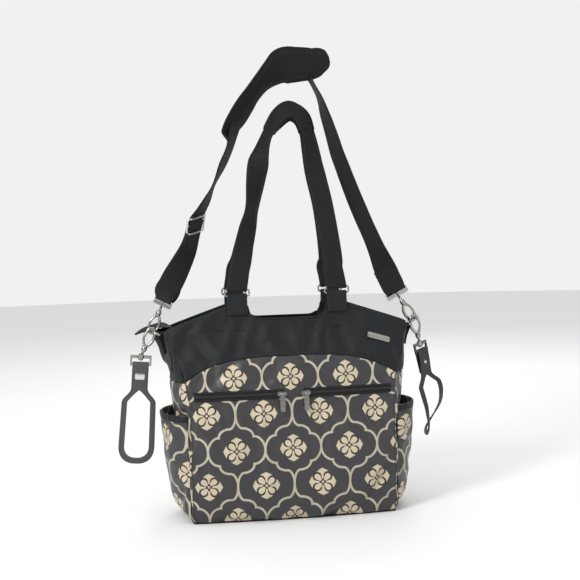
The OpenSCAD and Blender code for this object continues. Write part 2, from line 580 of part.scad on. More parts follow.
// ---- Zip sliders and pulls ----
// A slider lies in the XY plane with its chain along X, and its pull hangs towards -Y
slider_len = 14;
slider_w = 9;
slider_t = 2;
pull_pin_r = 0.9;
pull_lift = 4.4;
pull_len = 28;
pull_w = 8;
pull_t = 1.5;
module slider_body() {
    hull() for (x = [-slider_len / 2 + 3, slider_len / 2 - 3])
        translate([x, 0, 0.3]) cylinder(r = x > 0 ? 3 : slider_w / 2 - 0.6, h = slider_t, $fn = 32);
    for (x = [-3.4, 3.4]) translate([x - 0.8, -1, 1]) cube([1.6, 2, pull_lift - 0.4]);
    translate([0, 0, pull_lift]) rotate([0, 90, 0]) cylinder(r = pull_pin_r, h = 8, center = true, $fn = 24);
}
module pull_tab() translate([0, 0, pull_lift]) difference() {
    union() {
        rotate([0, 90, 0]) cylinder(r = pull_pin_r + running + 0.7, h = 4.6, center = true, $fn = 24);
        translate([-2.3, -4, -pull_t / 2]) cube([4.6, 4, pull_t]);
        translate([-pull_w / 2, -pull_len + pull_w / 2, -pull_t / 2])
            cube([pull_w, pull_len - pull_w / 2 - 3.4, pull_t]);
        translate([0, -pull_len + pull_w / 2, -pull_t / 2]) cylinder(r = pull_w / 2, h = pull_t, $fn = 32);
    }
    rotate([0, 90, 0]) cylinder(r = pull_pin_r + running, h = 8, center = true, $fn = 24);
}
slider_share = 0.11;
slider_yaw = 5;
slider_lean = 6;
module at_left_slider() translate(skin(FRONT, -slider_share, front_zip_z, 2.3))
    rotate([90 - slider_lean, 0, -slider_yaw]) children();
module at_right_slider() translate(skin(FRONT, slider_share, front_zip_z, 2.3))
    rotate([90 - slider_lean, 0, slider_yaw]) mirror([1, 0, 0]) children();
module at_main_slider() translate([160, 0, closure_z + closure_t + chain_h]) children();
module left_front_slider() color(steel) at_left_slider() slider_body();
module right_front_slider() color(steel) at_right_slider() slider_body();
module main_slider() color(steel) at_main_slider() rotate([0, 0, -90]) slider_body();
module left_front_pull() color(steel) at_left_slider() pull_tab();
module right_front_pull() color(steel) at_right_slider() pull_tab();
module main_pull() color(steel) at_main_slider() rotate([0, 0, -90]) pull_tab();

front_panel();
back_panel();
front_yoke();
back_yoke();
left_gusset();
right_gusset();
left_side_yoke();
right_side_yoke();
base_panel();
base_board();
base_binding();
lining();
left_side_pocket();
right_side_pocket();
pocket_elastics();
front_pocket_bags();
left_front_zip_tape();
right_front_zip_tape();
top_closure();
main_zip_tape();
main_zip_tail();
front_handle_tabs();
back_handle_tabs();
nameplate();
notch_bindings();
d_ring_tabs();
front_rings();
back_rings();
front_handle();
back_handle();
front_handle_grip();
back_handle_grip();
left_d_ring();
right_d_ring();
shoulder_strap();
shoulder_pad();
tri_glide();
left_strap_ring();
right_strap_ring();
left_strap_clasp();
right_strap_clasp();
left_strap_gate();
right_strap_gate();
left_clip_clasp();
right_clip_clasp();
left_clip_gate();
right_clip_gate();
left_clip_ring();
right_clip_ring();
left_clip_loop();
right_clip_loop();
left_clip_snap();
right_clip_snap();
left_front_slider();
right_front_slider();
main_slider();
left_front_pull();
right_front_pull();
main_pull();
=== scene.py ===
"""Diaper bag: cloth, webbing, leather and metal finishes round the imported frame.

Lengths in the tables are millimetres, as in the design, and MM turns them into the scene's metres.
"""

import math

import bpy
import numpy as np
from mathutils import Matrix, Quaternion, Vector, noise


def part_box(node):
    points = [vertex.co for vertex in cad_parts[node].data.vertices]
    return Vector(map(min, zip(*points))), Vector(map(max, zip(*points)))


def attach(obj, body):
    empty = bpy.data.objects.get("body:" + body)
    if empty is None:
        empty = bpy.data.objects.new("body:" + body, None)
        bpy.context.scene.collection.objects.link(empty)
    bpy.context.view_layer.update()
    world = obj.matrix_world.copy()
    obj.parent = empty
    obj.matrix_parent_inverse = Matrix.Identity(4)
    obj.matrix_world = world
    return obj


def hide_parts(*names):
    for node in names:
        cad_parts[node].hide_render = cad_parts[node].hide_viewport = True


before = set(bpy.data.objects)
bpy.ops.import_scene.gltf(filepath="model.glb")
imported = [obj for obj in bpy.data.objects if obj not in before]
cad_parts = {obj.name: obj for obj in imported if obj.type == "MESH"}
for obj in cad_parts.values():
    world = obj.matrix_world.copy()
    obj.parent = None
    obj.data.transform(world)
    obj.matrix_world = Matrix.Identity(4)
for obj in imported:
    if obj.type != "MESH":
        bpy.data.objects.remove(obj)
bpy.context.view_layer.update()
MM = 0.001

# ---------------------------------------------------------------- the bag's own measures
# Each outline is a row of heights and a row of half widths or half depths there
SEAM_HALF_W = ((0, 60, 180, 225, 260, 304, 345), (165, 163, 163, 168, 181, 194, 194))
SIDE_HALF_W = ((0, 60, 180, 225, 260, 304, 345), (167, 171, 183, 189, 193, 199, 199))
MIDDLE_HALF_D = ((0, 40, 115, 200, 258, 304, 345), (70, 78, 81, 73, 58, 36, 27))
SEAM_HALF_D = ((0, 115, 200, 258, 304, 345), (64, 72, 67, 48, 28, 22))
POCKET_BULGE = ((0, 7, 20, 40, 100, 172), (0.5, 1, 13, 19, 22, 24))
ARC_Z, ARC_DROP = 258, 36
TUCK, TUCK_Z = 5.5, 18  # how far the walls turn in at the base, and below what height
TAB_Z, NOTCH_Z, SIDE_Z = 338, 314, 304
ZIP_Z, TAPE_W, ZIP_REACH = 200, 14, 186.0
WEB_T, WIRE_R, HANDLE_W, STRAP_W = 2.2, 1.5, 32, 38
HANDLE_X, TAB_Y, RING_Z, RING_H = 80, 29.5, 352, 10
CLOSURE_Z, CLOSURE_REACH = 299, 192
FRONT, RIGHT, BACK, LEFT = range(4)
X, Y, Z = np.eye(3)


def table(rows, z):
    """A height table, eased over a few millimetres so that the cloth has no crease at its entries."""
    return sum(np.interp(np.asarray(z) + step, *rows) for step in (-12, -6, 0, 6, 12)) / 5


def unit(v):
    return v / np.linalg.norm(v, axis=-1, keepdims=True)


def skin(face, s, z, off=0.0):
    """Points on the bag's side `face` at shares s across it and heights z, moved outwards by off."""
    s, z, off = np.broadcast_arrays(np.asarray(s, float), np.asarray(z, float), np.asarray(off, float))
    tuck = TUCK * np.maximum(0, 1 - z / TUCK_Z) ** 2
    half_w, half_d = table(SEAM_HALF_W, z) - tuck, table(SEAM_HALF_D, z) - tuck
    if face % 2 == 0:
        bulge = table(MIDDLE_HALF_D, z) - tuck * 0.8 - half_d
        x, y = s * half_w, -half_d - bulge * (1 - s * s)
        nx, ny = 2 * s * bulge, -half_w
    else:
        bulge = table(SIDE_HALF_W, z) - tuck * 0.8 - half_w
        if face == LEFT:
            # The back part of the left side is pushed out towards the top, round the main zip's end
            rise = np.clip((z - 212) / 75, 0, 1)
            bulge = bulge + 27 * rise * rise * (3 - 2 * rise) * np.exp(-(((s + 0.62) / 0.3) ** 2))
        x, y = half_w + bulge * (1 - s * s), s * half_d
        nx, ny = half_d, 2 * s * bulge
    size = np.hypot(nx, ny)
    turn = -1 if face > RIGHT else 1
    return np.stack([turn * (x + off * nx / size), turn * (y + off * ny / size), z], -1)


def yoke_low(s):
    return ARC_Z - ARC_DROP * np.abs(s) ** 3


def yoke_top(s):
    """The top edge: a notch with round corners between the tabs, then a slope to the side seams."""
    corner, wall, tab_end, top_half = 19.0, 62.0, 94, 194
    x = np.abs(np.asarray(s, float)) * top_half
    rise = corner - np.sqrt(np.maximum(corner**2 - np.clip(x - wall + corner, 0, corner) ** 2, 0))
    notch = NOTCH_Z + np.minimum(rise, TAB_Z - NOTCH_Z)
    slope = np.interp(x, (wall, tab_end, top_half), (TAB_Z, TAB_Z, SIDE_Z))
    return np.where(x < wall - 0.2, notch, slope)


# ---------------------------------------------------------------- materials
class Num:
    """A value in a material's node tree. Arithmetic on it adds Math nodes."""

    def __init__(self, tree, socket):
        self.tree, self.socket = tree, socket

    def math(self, kind, *others, clamp=False):
        node = self.tree.nodes.new("ShaderNodeMath")
        node.operation, node.use_clamp = kind, clamp
        for slot, value in zip(node.inputs, (self, *others)):
            if isinstance(value, Num):
                self.tree.links.new(value.socket, slot)
            else:
                slot.default_value = value
        return Num(self.tree, node.outputs[0])

    def __add__(self, other):
        return self.math("ADD", other)

    def __sub__(self, other):
        return self.math("SUBTRACT", other)

    def __mul__(self, other):
        return self.math("MULTIPLY", other)

    def __truediv__(self, other):
        return self.math("DIVIDE", other)

    def __rsub__(self, other):
        return (self * -1.0) + other

    def low(self, *others):
        return self._fold("MINIMUM", others)

    def high(self, *others):
        return self._fold("MAXIMUM", others)

    def _fold(self, kind, others):
        value = self
        for other in others:
            value = value.math(kind, other)
        return value

    def below(self, edge, soft=0.25):
        """1 where the value is under the edge, and 0 above it, with a soft step between."""
        return ((edge - self) / soft + 0.5).math("ADD", 0.0, clamp=True)


def length(a, b):
    return (a * a + b * b).math("SQRT")


class Finish:
    """A Principled material under construction."""

    def __init__(self, name, rough, **constants):
        self.material = bpy.data.materials.new(name)
        self.material.use_nodes = True
        self.tree = self.material.node_tree
        self.shader = self.tree.nodes["Principled BSDF"]
        self.shader.inputs["Roughness"].default_value = rough
        for key, value in constants.items():
            self.shader.inputs[key.replace("_", " ")].default_value = value

    def node(self, kind, **values):
        made = self.tree.nodes.new(kind)
        for key, value in values.items():
            made.inputs[key].default_value = value
        return made

    def link(self, a, b):
        self.tree.links.new(a, b)

    def cloth_uv(self):
        """Millimetres across and along the cloth, from the piece's own flat layout."""
        uv = self.node("ShaderNodeUVMap")
        uv.uv_map = "cloth"
        split = self.node("ShaderNodeSeparateXYZ")
        self.link(uv.outputs[0], split.inputs[0])
        return [Num(self.tree, split.outputs[k]) * 1000.0 for k in range(2)]

    def place(self):
        return self.node("ShaderNodeTexCoord").outputs["Object"]

    def noise(self, scale, detail=3.0, rough=0.55, where=None):
        made = self.node("ShaderNodeTexNoise", Scale=scale, Detail=detail, Roughness=rough)
        self.link(where or self.place(), made.inputs["Vector"])
        return Num(self.tree, made.outputs[0])

    def mix(self, share, a, b):
        """Colour a where share is 0 and b where it is 1. A colour is a triple or a socket."""
        made = self.tree.nodes.new("ShaderNodeMix")
        made.data_type = "RGBA"
        self.link(share.socket, made.inputs["Factor"])
        for slot, colour in (("A", a), ("B", b)):
            socket = [i for i in made.inputs if i.identifier == f"{slot}_Color"][0]
            if isinstance(colour, tuple):
                socket.default_value = (*colour, 1)
            else:
                self.link(colour, socket)
        return [o for o in made.outputs if o.identifier == "Result_Color"][0]

    def colour(self, socket):
        self.link(socket, self.shader.inputs["Base Color"])

    def vary_rough(self, value, low, high):
        self.link((value * (high - low) + low).socket, self.shader.inputs["Roughness"])

    def bump(self, height, depth, strength=1.0):
        made = self.node("ShaderNodeBump", Strength=strength, Distance=depth * MM)
        self.link(height.socket, made.inputs["Height"])
        self.link(made.outputs[0], self.shader.inputs["Normal"])


def weave(u, v, pitch):
    """A plain weave: threads go over and under each other every pitch millimetres."""
    wave = math.tau / pitch / 2
    return (u * wave).math("SINE") * (v * wave).math("SINE") * 0.5 + 0.5


def ribs(u, v, pitch):
    """Webbing: ribs along its length, crossed by finer picks in a herringbone."""
    turn = math.tau / pitch
    cross = v + u.math("PINGPONG", pitch * 4) * 0.7
    return (u * turn).math("SINE") * 0.5 + (cross * (turn * 1.3)).math("SINE") * 0.3 + 0.5


def cloth_finish(name, dark, light, rough, pitch, sheen=0.06, depth=0.12, ribbed=False):
    """Woven or ribbed cloth with slight blotches and flecks."""
    made = Finish(name, rough, Sheen_Weight=sheen, Sheen_Roughness=0.45, Specular_IOR_Level=0.25)
    u, v = made.cloth_uv()
    threads = (ribs if ribbed else weave)(u, v, pitch)
    blotch = made.noise(22.0)
    fleck = made.noise(900.0, 2.0)
    made.colour(made.mix(threads * 0.45 + blotch * 0.35 + fleck * 0.2, dark, light))
    made.vary_rough(blotch, rough - 0.06, rough + 0.08)
    made.bump(threads + fleck * 0.35, depth, 0.8)
    return made.material


PRINT_W, PRINT_H = 88.4, 110.4
LINE_HALF = 1.7
GROUND_A, GROUND_B = (0.026, 0.025, 0.027), (0.046, 0.043, 0.046)
LINE_COLOUR, PETAL_A, PETAL_B = (0.42, 0.39, 0.30), (0.48, 0.41, 0.29), (0.58, 0.50, 0.37)
OUTLINE_COLOUR = (0.016, 0.011, 0.010)


def arc_line(x, y, centre, radii):
    """Distance to an ellipse, near enough for a thin line."""
    dx, dy = x - centre[0], y - centre[1]
    near = length(dx / radii[0], dy / radii[1])
    slope = length(dx / radii[0] ** 2, dy / radii[1] ** 2).high(1e-4)
    return (near * (near - 1.0) / slope).math("ABSOLUTE")


def lattice(x, y):
    """Distance to the lattice line in one quarter of a cell: three arcs that meet at a cusp."""
    cusp, shoulder = (27.0, 21.4), (10.7, 34.3)
    side = arc_line(x, y, (cusp[0], 0.0), (PRINT_W / 2 - cusp[0], cusp[1]))
    bump = arc_line(x, y, (shoulder[0], cusp[1]), (cusp[0] - shoulder[0], shoulder[1] - cusp[1]))
    tip = arc_line(x, y, (shoulder[0], PRINT_H / 2), (shoulder[0], PRINT_H / 2 - shoulder[1]))
    side = side.high(cusp[0] - x, y - cusp[1])
    bump = bump.high(x - cusp[0], shoulder[0] - x, cusp[1] - y, y - shoulder[1])
    tip = tip.high(x - shoulder[0], shoulder[1] - y)
    return side.low(bump, tip)


def flower(a, b):
    """Masks of a flower's fan petals, egg petals, dark outline and eye. a >= b are its folded axes."""
    edge = 21.5 - b * 2.2 / (b + 1.5) - b * b * 0.045
    along, across = (a + b) * math.sqrt(0.5), (a - b) * math.sqrt(0.5)
    egg = length((along - 9.7) / 6.5, across / (along * 0.2 + 2.2))
    fan = (a - edge).below(0.0)
    fan = fan * (b - (a - 4.4) * 0.9).below(0.0)
    fan = fan * (7.1 - length(a - 8.6, b - 8.6)).below(0.0)
    reach = length(a, b)
    outline = egg.below(1.3, 0.06) * (2.2 - along).below(0.0)
    return fan, egg.below(1.0, 0.06), outline.high(reach.below(3.3)), reach.below(1.9)


def print_finish():
    """Charcoal coated cloth with a cream lattice and a flower in every cell."""
    made = Finish("print_cloth", 0.46, Sheen_Weight=0.12, Sheen_Roughness=0.4, Specular_IOR_Level=0.42)
    u, v = made.cloth_uv()
    warp = made.noise(38.0, 2.0)
    x = (u + warp * 1.2).math("PINGPONG", PRINT_W / 2)
    y = (v + warp * 1.2).math("PINGPONG", PRINT_H / 2)
    line = lattice(x, y).below(LINE_HALF, 0.35)
    own = (x / (PRINT_W / 2) + y / (PRINT_H / 2)).math("LESS_THAN", 1.0)
    fx = ((1.0 - own) * (PRINT_W / 2) - x).math("ABSOLUTE")
    fy = ((1.0 - own) * (PRINT_H / 2) - y).math("ABSOLUTE")
    fan, egg, outline, eye = flower(fx.high(fy), fx.low(fy))
    threads, blotch, grain = weave(u, v, 0.7), made.noise(30.0), made.noise(700.0, 2.0)
    ground = made.mix(threads * 0.4 + blotch * 0.4 + grain * 0.2, GROUND_A, GROUND_B)
    cream = made.mix(blotch * 0.6 + grain * 0.4, PETAL_A, PETAL_B)
    colour = made.mix(line, ground, LINE_COLOUR)
    colour = made.mix(fan, colour, cream)
    colour = made.mix(outline, colour, OUTLINE_COLOUR)
    colour = made.mix(egg, colour, cream)
    made.colour(made.mix(eye, colour, cream))
    ink = line.high(fan, egg, eye)
    made.vary_rough((blotch + ink * 0.5) * 0.66, 0.36, 0.56)
    made.bump(threads * 0.5 + grain * 0.4 + ink * 0.25, 0.10, 0.7)
    return made.material


def metal_finish(name, low, high, rough, relief=0.05):
    """Plated metal with cloudy colour, faint brushing, and wear that also sets light and dark patches in the
    colour as painted reflection.
    """
    made = Finish(name, rough, Metallic=1.0)
    wear_and_reflection, cloud = made.noise(260.0, 4.0, 0.65), made.noise(70.0)
    stretch = made.node("ShaderNodeMapping", Scale=(30.0, 500.0, 500.0))
    made.link(made.place(), stretch.inputs["Vector"])
    brushed = made.noise(4.0, 2.0, where=stretch.outputs[0])
    # Painted reflection: the wear noise puts light and dark patches in the colour, standing in for what the
    # metal mirrors; in roughness and bump it is real wear.
    made.colour(made.mix(cloud * 0.7 + wear_and_reflection * 0.3, low, high))
    made.vary_rough(wear_and_reflection * 0.6 + brushed * 0.4, rough - 0.10, rough + 0.14)
    made.bump(brushed * 0.6 + wear_and_reflection * 0.4, relief, 0.5)
    return made.material


def leather_finish(name, dark, light):
    """Pebbled imitation leather."""
    made = Finish(name, 0.5, Specular_IOR_Level=0.45, Coat_Weight=0.08, Coat_Roughness=0.35)
    cells = made.node("ShaderNodeTexVoronoi", Scale=1500.0)
    cells.feature = "DISTANCE_TO_EDGE"
    made.link(made.place(), cells.inputs["Vector"])
    grain, cloud = Num(made.tree, cells.outputs["Distance"]), made.noise(60.0)
    pebble = (grain * 3.0).math("MINIMUM", 1.0)
    made.colour(made.mix(cloud * 0.6 + pebble * 0.4, dark, light))
    made.vary_rough(pebble * 0.5 + cloud * 0.5, 0.42, 0.6)
    made.bump(pebble + cloud * 0.3, 0.12, 0.6)
    return made.material


def plastic_finish(name, dark, light, rough):
    """Moulded plastic or board with a fine grain."""
    made = Finish(name, rough)
    grain = made.noise(1200.0, 3.0)
    made.colour(made.mix(grain, dark, light))
    made.vary_rough(grain, rough - 0.08, rough + 0.1)
    made.bump(grain, 0.05, 0.4)
    return made.material


PRINT = print_finish()
YOKE = cloth_finish("yoke_cloth", (0.0050, 0.0058, 0.0068), (0.0120, 0.0135, 0.0150), 0.55, 0.55)
WEB = cloth_finish("webbing", (0.0035, 0.0035, 0.0040), (0.0110, 0.0110, 0.0122), 0.66, 1.5,
                   depth=0.14, ribbed=True)
SLEEVE = cloth_finish("sleeve_cloth", (0.0030, 0.0032, 0.0036), (0.0085, 0.0088, 0.0095), 0.7, 0.6)
TAPE = cloth_finish("zip_tape", (0.0035, 0.0036, 0.0040), (0.0090, 0.0093, 0.0100), 0.72, 0.8)
LINING = cloth_finish("lining_cloth", (0.36, 0.31, 0.23), (0.50, 0.44, 0.34), 0.6, 0.5)
THREAD = cloth_finish("thread", (0.020, 0.020, 0.022), (0.050, 0.050, 0.054), 0.6, 0.3, sheen=0.1)
GREY_THREAD = cloth_finish("grey_thread", (0.045, 0.045, 0.048), (0.085, 0.085, 0.090), 0.6, 0.3, sheen=0.1)
NICKEL = metal_finish("nickel", (0.24, 0.23, 0.215), (0.46, 0.45, 0.42), 0.24)
BRIGHT = metal_finish("bright_nickel", (0.50, 0.49, 0.47), (0.72, 0.71, 0.69), 0.2)
PLATE = metal_finish("plate_nickel", (0.33, 0.32, 0.30), (0.36, 0.35, 0.33), 0.32, 0.008)
LEATHER = leather_finish("grey_leather", (0.040, 0.040, 0.044), (0.070, 0.070, 0.075))
# Painted shade: a darker copy of the grey leather, used on the right loop, which is the same grey leather as
# the left one.
LEATHER_SHADED = leather_finish("shaded_grey_leather", (0.018, 0.018, 0.020), (0.034, 0.034, 0.037))
TEETH = plastic_finish("zip_teeth", (0.010, 0.010, 0.011), (0.028, 0.028, 0.030), 0.38)
BOARD = plastic_finish("base_board", (0.22, 0.20, 0.17), (0.34, 0.31, 0.27), 0.7)


# ---------------------------------------------------------------- mesh helpers
def mesh_piece(name, points, faces, material, uv=None):
    """An object from points in millimetres. uv gives each point's place on the flat cloth."""
    name += "_look" * (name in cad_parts)
    mesh = bpy.data.meshes.new(name)
    mesh.from_pydata((np.asarray(points, float) * MM).tolist(), [], faces)
    mesh.materials.append(material)
    mesh.shade_smooth()
    if uv is not None:
        flat = (np.asarray(uv, float) * MM)[[v for f in faces for v in f]]
        mesh.uv_layers.new(name="cloth").data.foreach_set("uv", flat.astype(np.float32).ravel())
    made = bpy.data.objects.new(name, mesh)
    bpy.context.scene.collection.objects.link(made)
    return made


def grid_faces(rows, cols, first=0, wrap=False):
    last = cols if wrap else cols - 1
    return [
        (first + r * cols + c, first + r * cols + (c + 1) % cols,
         first + (r + 1) * cols + (c + 1) % cols, first + (r + 1) * cols + c)
        for r in range(rows - 1) for c in range(last)
    ]


def flipped(faces):
    return [tuple(reversed(face)) for face in faces]


def ring_face(first, count, flip=False):
    """One face over a ring of points, to close an end."""
    ring = range(first, first + count)
    return tuple(reversed(ring)) if flip else tuple(ring)


def layout(across, along):
    """The flat cloth layout of a grid's points, from their places across and along it."""
    return np.stack(np.broadcast_arrays(across, along), -1).reshape(-1, 2)


def sheet(name, grid, material, across, along, flip=False):
    """A piece from a grid of points, with the flat layout across and along the cloth."""
    faces = grid_faces(*grid.shape[:2])
    faces = flipped(faces) if flip else faces
    return mesh_piece(name, grid.reshape(-1, 3), faces, material, layout(across, along))


def thicken(piece, thick, offset=-1.0):
    made = piece.modifiers.new("Thickness", "SOLIDIFY")
    made.thickness, made.offset, made.use_even_offset = thick * MM, offset, True
    return piece


def subdivide(piece):
    made = piece.modifiers.new("Smooth", "SUBSURF")
    made.levels = made.render_levels = 1
    return piece


def soften(piece, width, segments=2):
    made = piece.modifiers.new("Edges", "BEVEL")
    made.width, made.segments, made.limit_method = width * MM, segments, "ANGLE"
    piece.modifiers.new("Shading", "WEIGHTED_NORMAL")
    return piece


def ride(piece, body, slot, *replaced):
    """Fixes a piece to its body and hides the CAD parts it replaces; the slot is not used. Empty names among
    the replaced ones are left out.
    """
    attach(piece, body)
    nodes = [name for name in replaced if name]
    if nodes:
        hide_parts(*nodes)
    return piece


def grid_normals(grid, wrap=False):
    """The outward normal at every point of a grid."""
    across = np.roll(grid, -1, 1) - np.roll(grid, 1, 1) if wrap else np.gradient(grid, axis=1)
    return unit(np.cross(across, np.gradient(grid, axis=0)) + 1e-12)


def drape(grid, pins, extra, pressure, cap, wrap=False):
    """Lets a grid of cloth that is cut a little too large settle between its pinned points."""
    frames = 18
    rows, cols = grid.shape[:2]
    piece = mesh_piece("draping", grid.reshape(-1, 3), grid_faces(rows, cols, wrap=wrap), YOKE)
    group = piece.vertex_groups.new(name="pin")
    for index, weight in enumerate(pins.ravel()):
        if weight > 0:
            group.add([index], float(weight), "REPLACE")
    cloth = piece.modifiers.new("Cloth", "CLOTH")
    cloth.point_cache.frame_start, cloth.point_cache.frame_end = 1, frames
    values = cloth.settings
    values.quality, values.mass, values.vertex_group_mass = 7, 0.2, "pin"
    values.tension_stiffness = values.compression_stiffness = 18
    values.shear_stiffness, values.bending_stiffness, values.air_damping = 6, 2, 2
    values.shrink_min, values.use_pressure, values.uniform_pressure_force = -extra, True, pressure
    values.effector_weights.gravity = 0.3
    scene = bpy.context.scene
    for step in range(1, frames + 1):
        scene.frame_set(step)
    settled = piece.evaluated_get(bpy.context.evaluated_depsgraph_get()).data
    moved = np.array([v.co for v in settled.vertices]).reshape(rows, cols, 3) / MM - grid
    bpy.data.objects.remove(piece)
    scene.frame_set(1)
    far = np.linalg.norm(moved, axis=-1, keepdims=True)
    return grid + moved * np.minimum(1.0, cap / np.maximum(far, 1e-9))


def ruffle(grid, amount, size, seed):
    """Small seeded noise along the normals, which decides where the cloth buckles."""
    push = np.array([noise.noise(Vector(p) / size + Vector((seed, 0, 0))) for p in grid.reshape(-1, 3)])
    return grid + grid_normals(grid) * (amount * push).reshape(grid.shape[:2])[..., None]


def pick(grid, row, col):
    """A point of a grid at a row and column that need not be whole."""
    r, c = int(min(row, grid.shape[0] - 1.001)), int(min(col, grid.shape[1] - 1.001))
    a, b = row - r, col - c
    this = grid[r, c] * (1 - a) + grid[r + 1, c] * a
    following = grid[r, c + 1] * (1 - a) + grid[r + 1, c + 1] * a
    return this * (1 - b) + following * b


def lifted(grid, places, lift):
    """A grid's points at (row, column) places, lifted off it, with the normals there."""
    points, normals = (np.array([pick(g, r, c) for r, c in places]) for g in (grid, grid_normals(grid)))
    return points + lift * normals, normals


def distances(line):
    """How far along a line each of its points is."""
    return np.concatenate([[0], np.cumsum(np.linalg.norm(np.diff(line, axis=0), axis=1))])


def resample(line, step):
    """Points along a line of points, evenly spaced."""
    far = distances(line)
    at = np.linspace(0, far[-1], max(2, int(far[-1] / step)))
    return np.stack([np.interp(at, far, line[:, k]) for k in range(3)], 1)


def stitches(name, lines, body, slot, material=THREAD, pitch=4.2, long=2.9, thick=0.42):
    """Rows of thread, each a row of small spindles. A line is (points, outward normals)."""
    points, faces, uv = [], [], []
    sides, spindle = 5, ((-0.5, 0.25), (-0.3, 0.95), (0.3, 0.95), (0.5, 0.25))
    for line, outward in lines:
        both = np.concatenate([line, outward], 1)
        far = distances(both[:, :3])
        for at in np.arange(pitch / 2, far[-1], pitch):
            here, ahead, behind = (np.array([np.interp(d, far, both[:, k]) for k in range(6)])
                                   for d in (at, min(at + 1, far[-1]), max(at - 1, 0)))
            along, up = unit(ahead[:3] - behind[:3]), unit(here[3:])
            side = unit(np.cross(along, up))
            first = len(points)
            for reach, size in spindle:
                for k in range(sides):
                    turn = math.tau * k / sides
                    spread = (side * math.cos(turn) + up * math.sin(turn)) * thick * size
                    points.append(here[:3] + along * reach * long + spread + up * thick * 0.35)
                    uv.append((k * 0.5, at + reach * long))
            faces += grid_faces(len(spindle), sides, first, wrap=True)
            faces += [ring_face(first, sides, True), ring_face(first + 3 * sides, sides)]
    return ride(mesh_piece(name, points, faces, material, uv), body, slot)


def tube(name, line, radius, material, closed=False, sides=10):
    """A round cord along a line of points."""
    line = np.asarray(line, float)
    count = len(line)
    ahead = np.roll(line, -1, 0) - np.roll(line, 1, 0) if closed else np.gradient(line, axis=0)
    along = unit(ahead)
    up = np.zeros_like(along)
    guide = np.array([0.13, 0.2, 1.0]) if abs(along[0][2]) < 0.9 else np.array([1.0, 0.1, 0.0])
    for k in range(count):
        guide = guide - (guide @ along[k]) * along[k]
        guide = up[k] = guide / np.linalg.norm(guide)
    side = np.cross(along, up)
    turn = np.arange(sides) * math.tau / sides
    spread = np.cos(turn)[:, None] * side[:, None] + np.sin(turn)[:, None] * up[:, None]
    rings = line[:, None] + radius * spread
    faces = grid_faces(count, sides, wrap=True)
    last = (count - 1) * sides
    if closed:
        faces += [(last + k, last + (k + 1) % sides, (k + 1) % sides, k) for k in range(sides)]
    else:
        faces += [ring_face(0, sides, True), ring_face(last, sides)]
    return mesh_piece(name, rings.reshape(-1, 3), faces, material,
                      layout(turn[None] * radius, distances(line)[:, None]))


def smooth(points, steps):
    """Catmull-Rom points along a drawn route, as in the design."""
    p = [np.asarray(q, float) for q in points]
    out = []
    for i in range(len(p) - 1):
        a, b, c, d = p[max(i - 1, 0)], p[i], p[i + 1], p[min(i + 2, len(p) - 1)]
        for t in np.arange(steps) / steps:
            out.append(0.5 * (2 * b + (c - a) * t + (2 * a - 5 * b + 4 * c - d) * t * t
                              + (3 * b - a - 3 * c + d) * t**3))
    return np.array(out + [p[-1]])


class Route:
    """The line of a flat band: places, width directions and widths, all smoothed."""

    def __init__(self, points, steps):
        self.at = smooth([p[0] for p in points], steps)
        self.width = smooth([[p[2]] for p in points], steps)[:, 0]
        across = smooth([unit(np.array(p[1], float)) for p in points], steps)
        along = unit(np.gradient(self.at, axis=0))
        self.flat = unit(across - (across * along).sum(1)[:, None] * along)
        self.up = np.cross(along, self.flat)
        self.far = distances(self.at)

    def line(self, share, lift, start=0, end=None):
        """A line at a share of the half width, or share - 1 millimetres in from the edge if it is over 1."""
        half = self.width / 2
        reach = np.sign(share) * (half - (abs(share) - 1)) if abs(share) > 1 else share * half
        points = self.at + reach[:, None] * self.flat + lift * self.up
        return points[start:end], np.sign(lift) * self.up[start:end]


def band(name, route, thick, material, crown=0.0, wave=0.3, seed=0.0):
    """A flat woven band with round edges, slightly uneven, swept along a route."""
    edge = np.clip(thick / route.width.mean(), 0.03, 0.3)
    half = np.array([-1, -1 + edge * 0.3, -1 + edge, -0.6, -0.3, 0,
                     0.3, 0.6, 1 - edge, 1 - edge * 0.3, 1])
    rise = np.sqrt(np.clip(1 - (np.clip(np.abs(half) - (1 - edge), 0, None) / edge) ** 2, 0, 1))
    dome = crown * (1 - half**2) ** 0.8
    shares = np.concatenate([half, half[-2:0:-1]])
    lift = np.concatenate([rise * thick / 2 + dome, -(rise * thick / 2 + dome)[-2:0:-1]])
    flutter = np.array([noise.noise(Vector((f / 34 + seed, seed, 0))) for f in route.far])
    cup = np.array([noise.noise(Vector((f / 47 - seed, 3.0, 0))) for f in route.far])
    bend = wave * (flutter[:, None] + cup[:, None] * (shares[None] ** 2 - 0.4))
    reach = shares[None] * route.width[:, None] / 2
    rings = (route.at[:, None] + reach[..., None] * route.flat[:, None]
             + (lift[None] + bend)[..., None] * route.up[:, None])
    rows, cols = rings.shape[:2]
    faces = flipped(grid_faces(rows, cols, wrap=True))
    faces += [ring_face(0, cols), ring_face((rows - 1) * cols, cols, True)]
    return mesh_piece(name, rings.reshape(-1, 3), faces, material, layout(reach, route.far[:, None]))


# ---------------------------------------------------------------- the sewn shell
# Columns across half the front lie closer together round the notch's corner, and rows closer at the zips
half_front = np.concatenate([
    np.linspace(0, 0.19, 6), [0.222, 0.25, 0.27, 0.288, 0.303, 0.3165, 0.3205, 0.345],
    np.linspace(0.38, 0.97, 17), [1.0]])
FRONT_SHARES = np.concatenate([-half_front[:0:-1], half_front])
SIDE_SHARES = np.concatenate([[-1, -0.95], np.linspace(-0.85, 0.85, 18), [0.95, 1]])
LEVELS = np.concatenate([[0, 2, 5, 9], np.arange(15, 186, 6.2), [190, 194, 200, 206, 210]])
ARC_ROWS, YOKE_ROWS = 7, 15
SEAM_DIP, ARC_DIP, PANEL_THICK = 1.1, 0.9, 1.9  # how far a panel turns in at its edges, and its cloth
PANEL_ROWS = len(LEVELS) + ARC_ROWS


